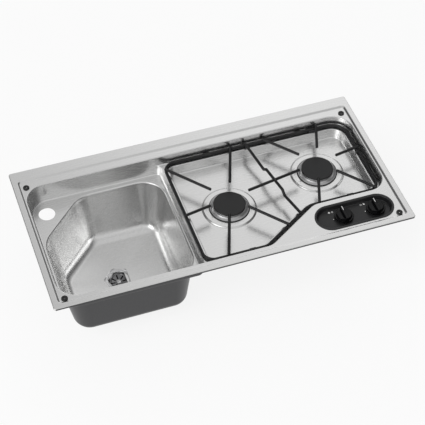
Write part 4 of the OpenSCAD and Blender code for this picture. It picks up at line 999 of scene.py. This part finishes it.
# Floor, and the share of it that shows as plain white
GROUND_Z, GROUND_REACH = -246.2, 40000
GROUND_GREY, GROUND_DARK, GROUND_LIGHT = (0.88,) * 3, (0.875,) * 3, (0.885,) * 3
GROUND_ROUGH, GROUND_SHINE, GROUND_GRAIN = 0.9, 0.1, 40
WHITE_SHARE = 0.86


def build_floor():
    """Pale floor that shows near white to the eye and in metal, and keeps the shadow."""
    far = GROUND_REACH
    corners = [(-far, -far, GROUND_Z), (far, -far, GROUND_Z), (far, far, GROUND_Z), (-far, far, GROUND_Z)]
    floor = new_object("floor", corners, [(0, 1, 2, 3)])
    pale = material("floor_pale", GROUND_GREY, GROUND_ROUGH, specular=GROUND_SHINE)
    tint(pale, stretched_noise(pale, (1, 1, 1), GROUND_GRAIN), GROUND_DARK, GROUND_LIGHT)
    rays = node(pale, "ShaderNodeLightPath").outputs
    seen = combine(
        pale, "MAXIMUM", rays["Is Camera Ray"], rays["Is Glossy Ray"], rays["Is Transmission Ray"])
    white = node(pale, "ShaderNodeEmission")
    mix = node(pale, "ShaderNodeMixShader")
    link(pale, combine(pale, "MULTIPLY", seen, WHITE_SHARE), mix.inputs["Fac"])
    link(pale, shader(pale).outputs["BSDF"], mix.inputs[1])
    link(pale, white.outputs["Emission"], mix.inputs[2])
    link(pale, mix.outputs["Shader"], pale.node_tree.nodes["Material Output"].inputs["Surface"])
    floor.data.materials.append(pale)


# Studio glow: each part has a strength and ramps of (axis, from, to, share at from, share at to)
BASE_GLOW = 0.58
GLOW = {
    "in_front": (0.35, [("Y", -0.8, -0.3, 1.0, 0.0), ("Z", 0.25, 0.45, 0.0, 1.0)]),
    "right_behind": (0.55, [
        ("Y", 0.2, 0.5, 0.0, 1.0), ("X", 0.05, 0.3, 0.0, 1.0), ("X", 0.36, 0.5, 1.0, 0.0)]),
    "low_behind": (1.0, [("Y", 0.5, 0.68, 0.0, 1.0), ("Z", 0.66, 0.76, 0.2, 0.0)]),
    "overhead": (0.25, [("Z", 0.82, 0.97, 0.0, 1.0), ("X", -0.5, 0.3, 0.6, 1.0)]),
    "left": (1.5, [
        ("X", -0.75, -0.55, 1.0, 0.0), ("Y", -0.1, 0.15, 1.0, 0.0), ("Z", 0.15, 0.4, 0.0, 1.0)]),
}
SHADE_LEFT_BEHIND = [("Y", 0.25, 0.55, 0.0, 0.9), ("X", -0.42, -0.08, 1.0, 0.0)]
SHADE_FAR_RIGHT = ("X", 0.42, 0.7, 1.0, 0.25)


def build_world():
    """Soft studio: brighter at the left, right behind and overhead, darker left behind and far right."""
    world = bpy.data.worlds.new("world")
    bpy.context.scene.world = world
    world.use_nodes = True
    world.node_tree.nodes.clear()
    out = node(world, "ShaderNodeOutputWorld")
    back = node(world, "ShaderNodeBackground")
    place = node(world, "ShaderNodeTexCoord")
    split = node(world, "ShaderNodeSeparateXYZ")
    link(world, place.outputs["Generated"], split.inputs["Vector"])

    def ramp(axis, low, high, to_low, to_high):
        span = node(world, "ShaderNodeMapRange")
        span.interpolation_type = "SMOOTHSTEP"
        for key, value in (("From Min", low), ("From Max", high), ("To Min", to_low), ("To Max", to_high)):
            span.inputs[key].default_value = value
        link(world, split.outputs[axis], span.inputs["Value"])
        return span.outputs["Result"]

    parts = [
        combine(world, "MULTIPLY", *(ramp(*span) for span in spans), strength)
        for strength, spans in GLOW.values()
    ]
    glow = combine(world, "ADD", BASE_GLOW, *parts)
    left_behind = combine(world, "MULTIPLY", *(ramp(*span) for span in SHADE_LEFT_BEHIND))
    left_share = combine(world, "SUBTRACT", 1.0, left_behind)
    light = combine(world, "MULTIPLY", glow, combine(world, "MULTIPLY", left_share, ramp(*SHADE_FAR_RIGHT)))
    link(world, light, back.inputs["Strength"])
    link(world, back.outputs["Background"], out.inputs["Surface"])


place_camera()
build_floor()
build_world()
sun("key", way=(0.45, 0.35, -0.82), strength=1.0, degrees=30)
area_lamp("side", size=(1.4, 2.2), place=(-2.1, -1.2, 1.25), aim=(-0.1, 0, -0.1), watts=11)
bpy.context.scene.view_settings.view_transform = "Standard"
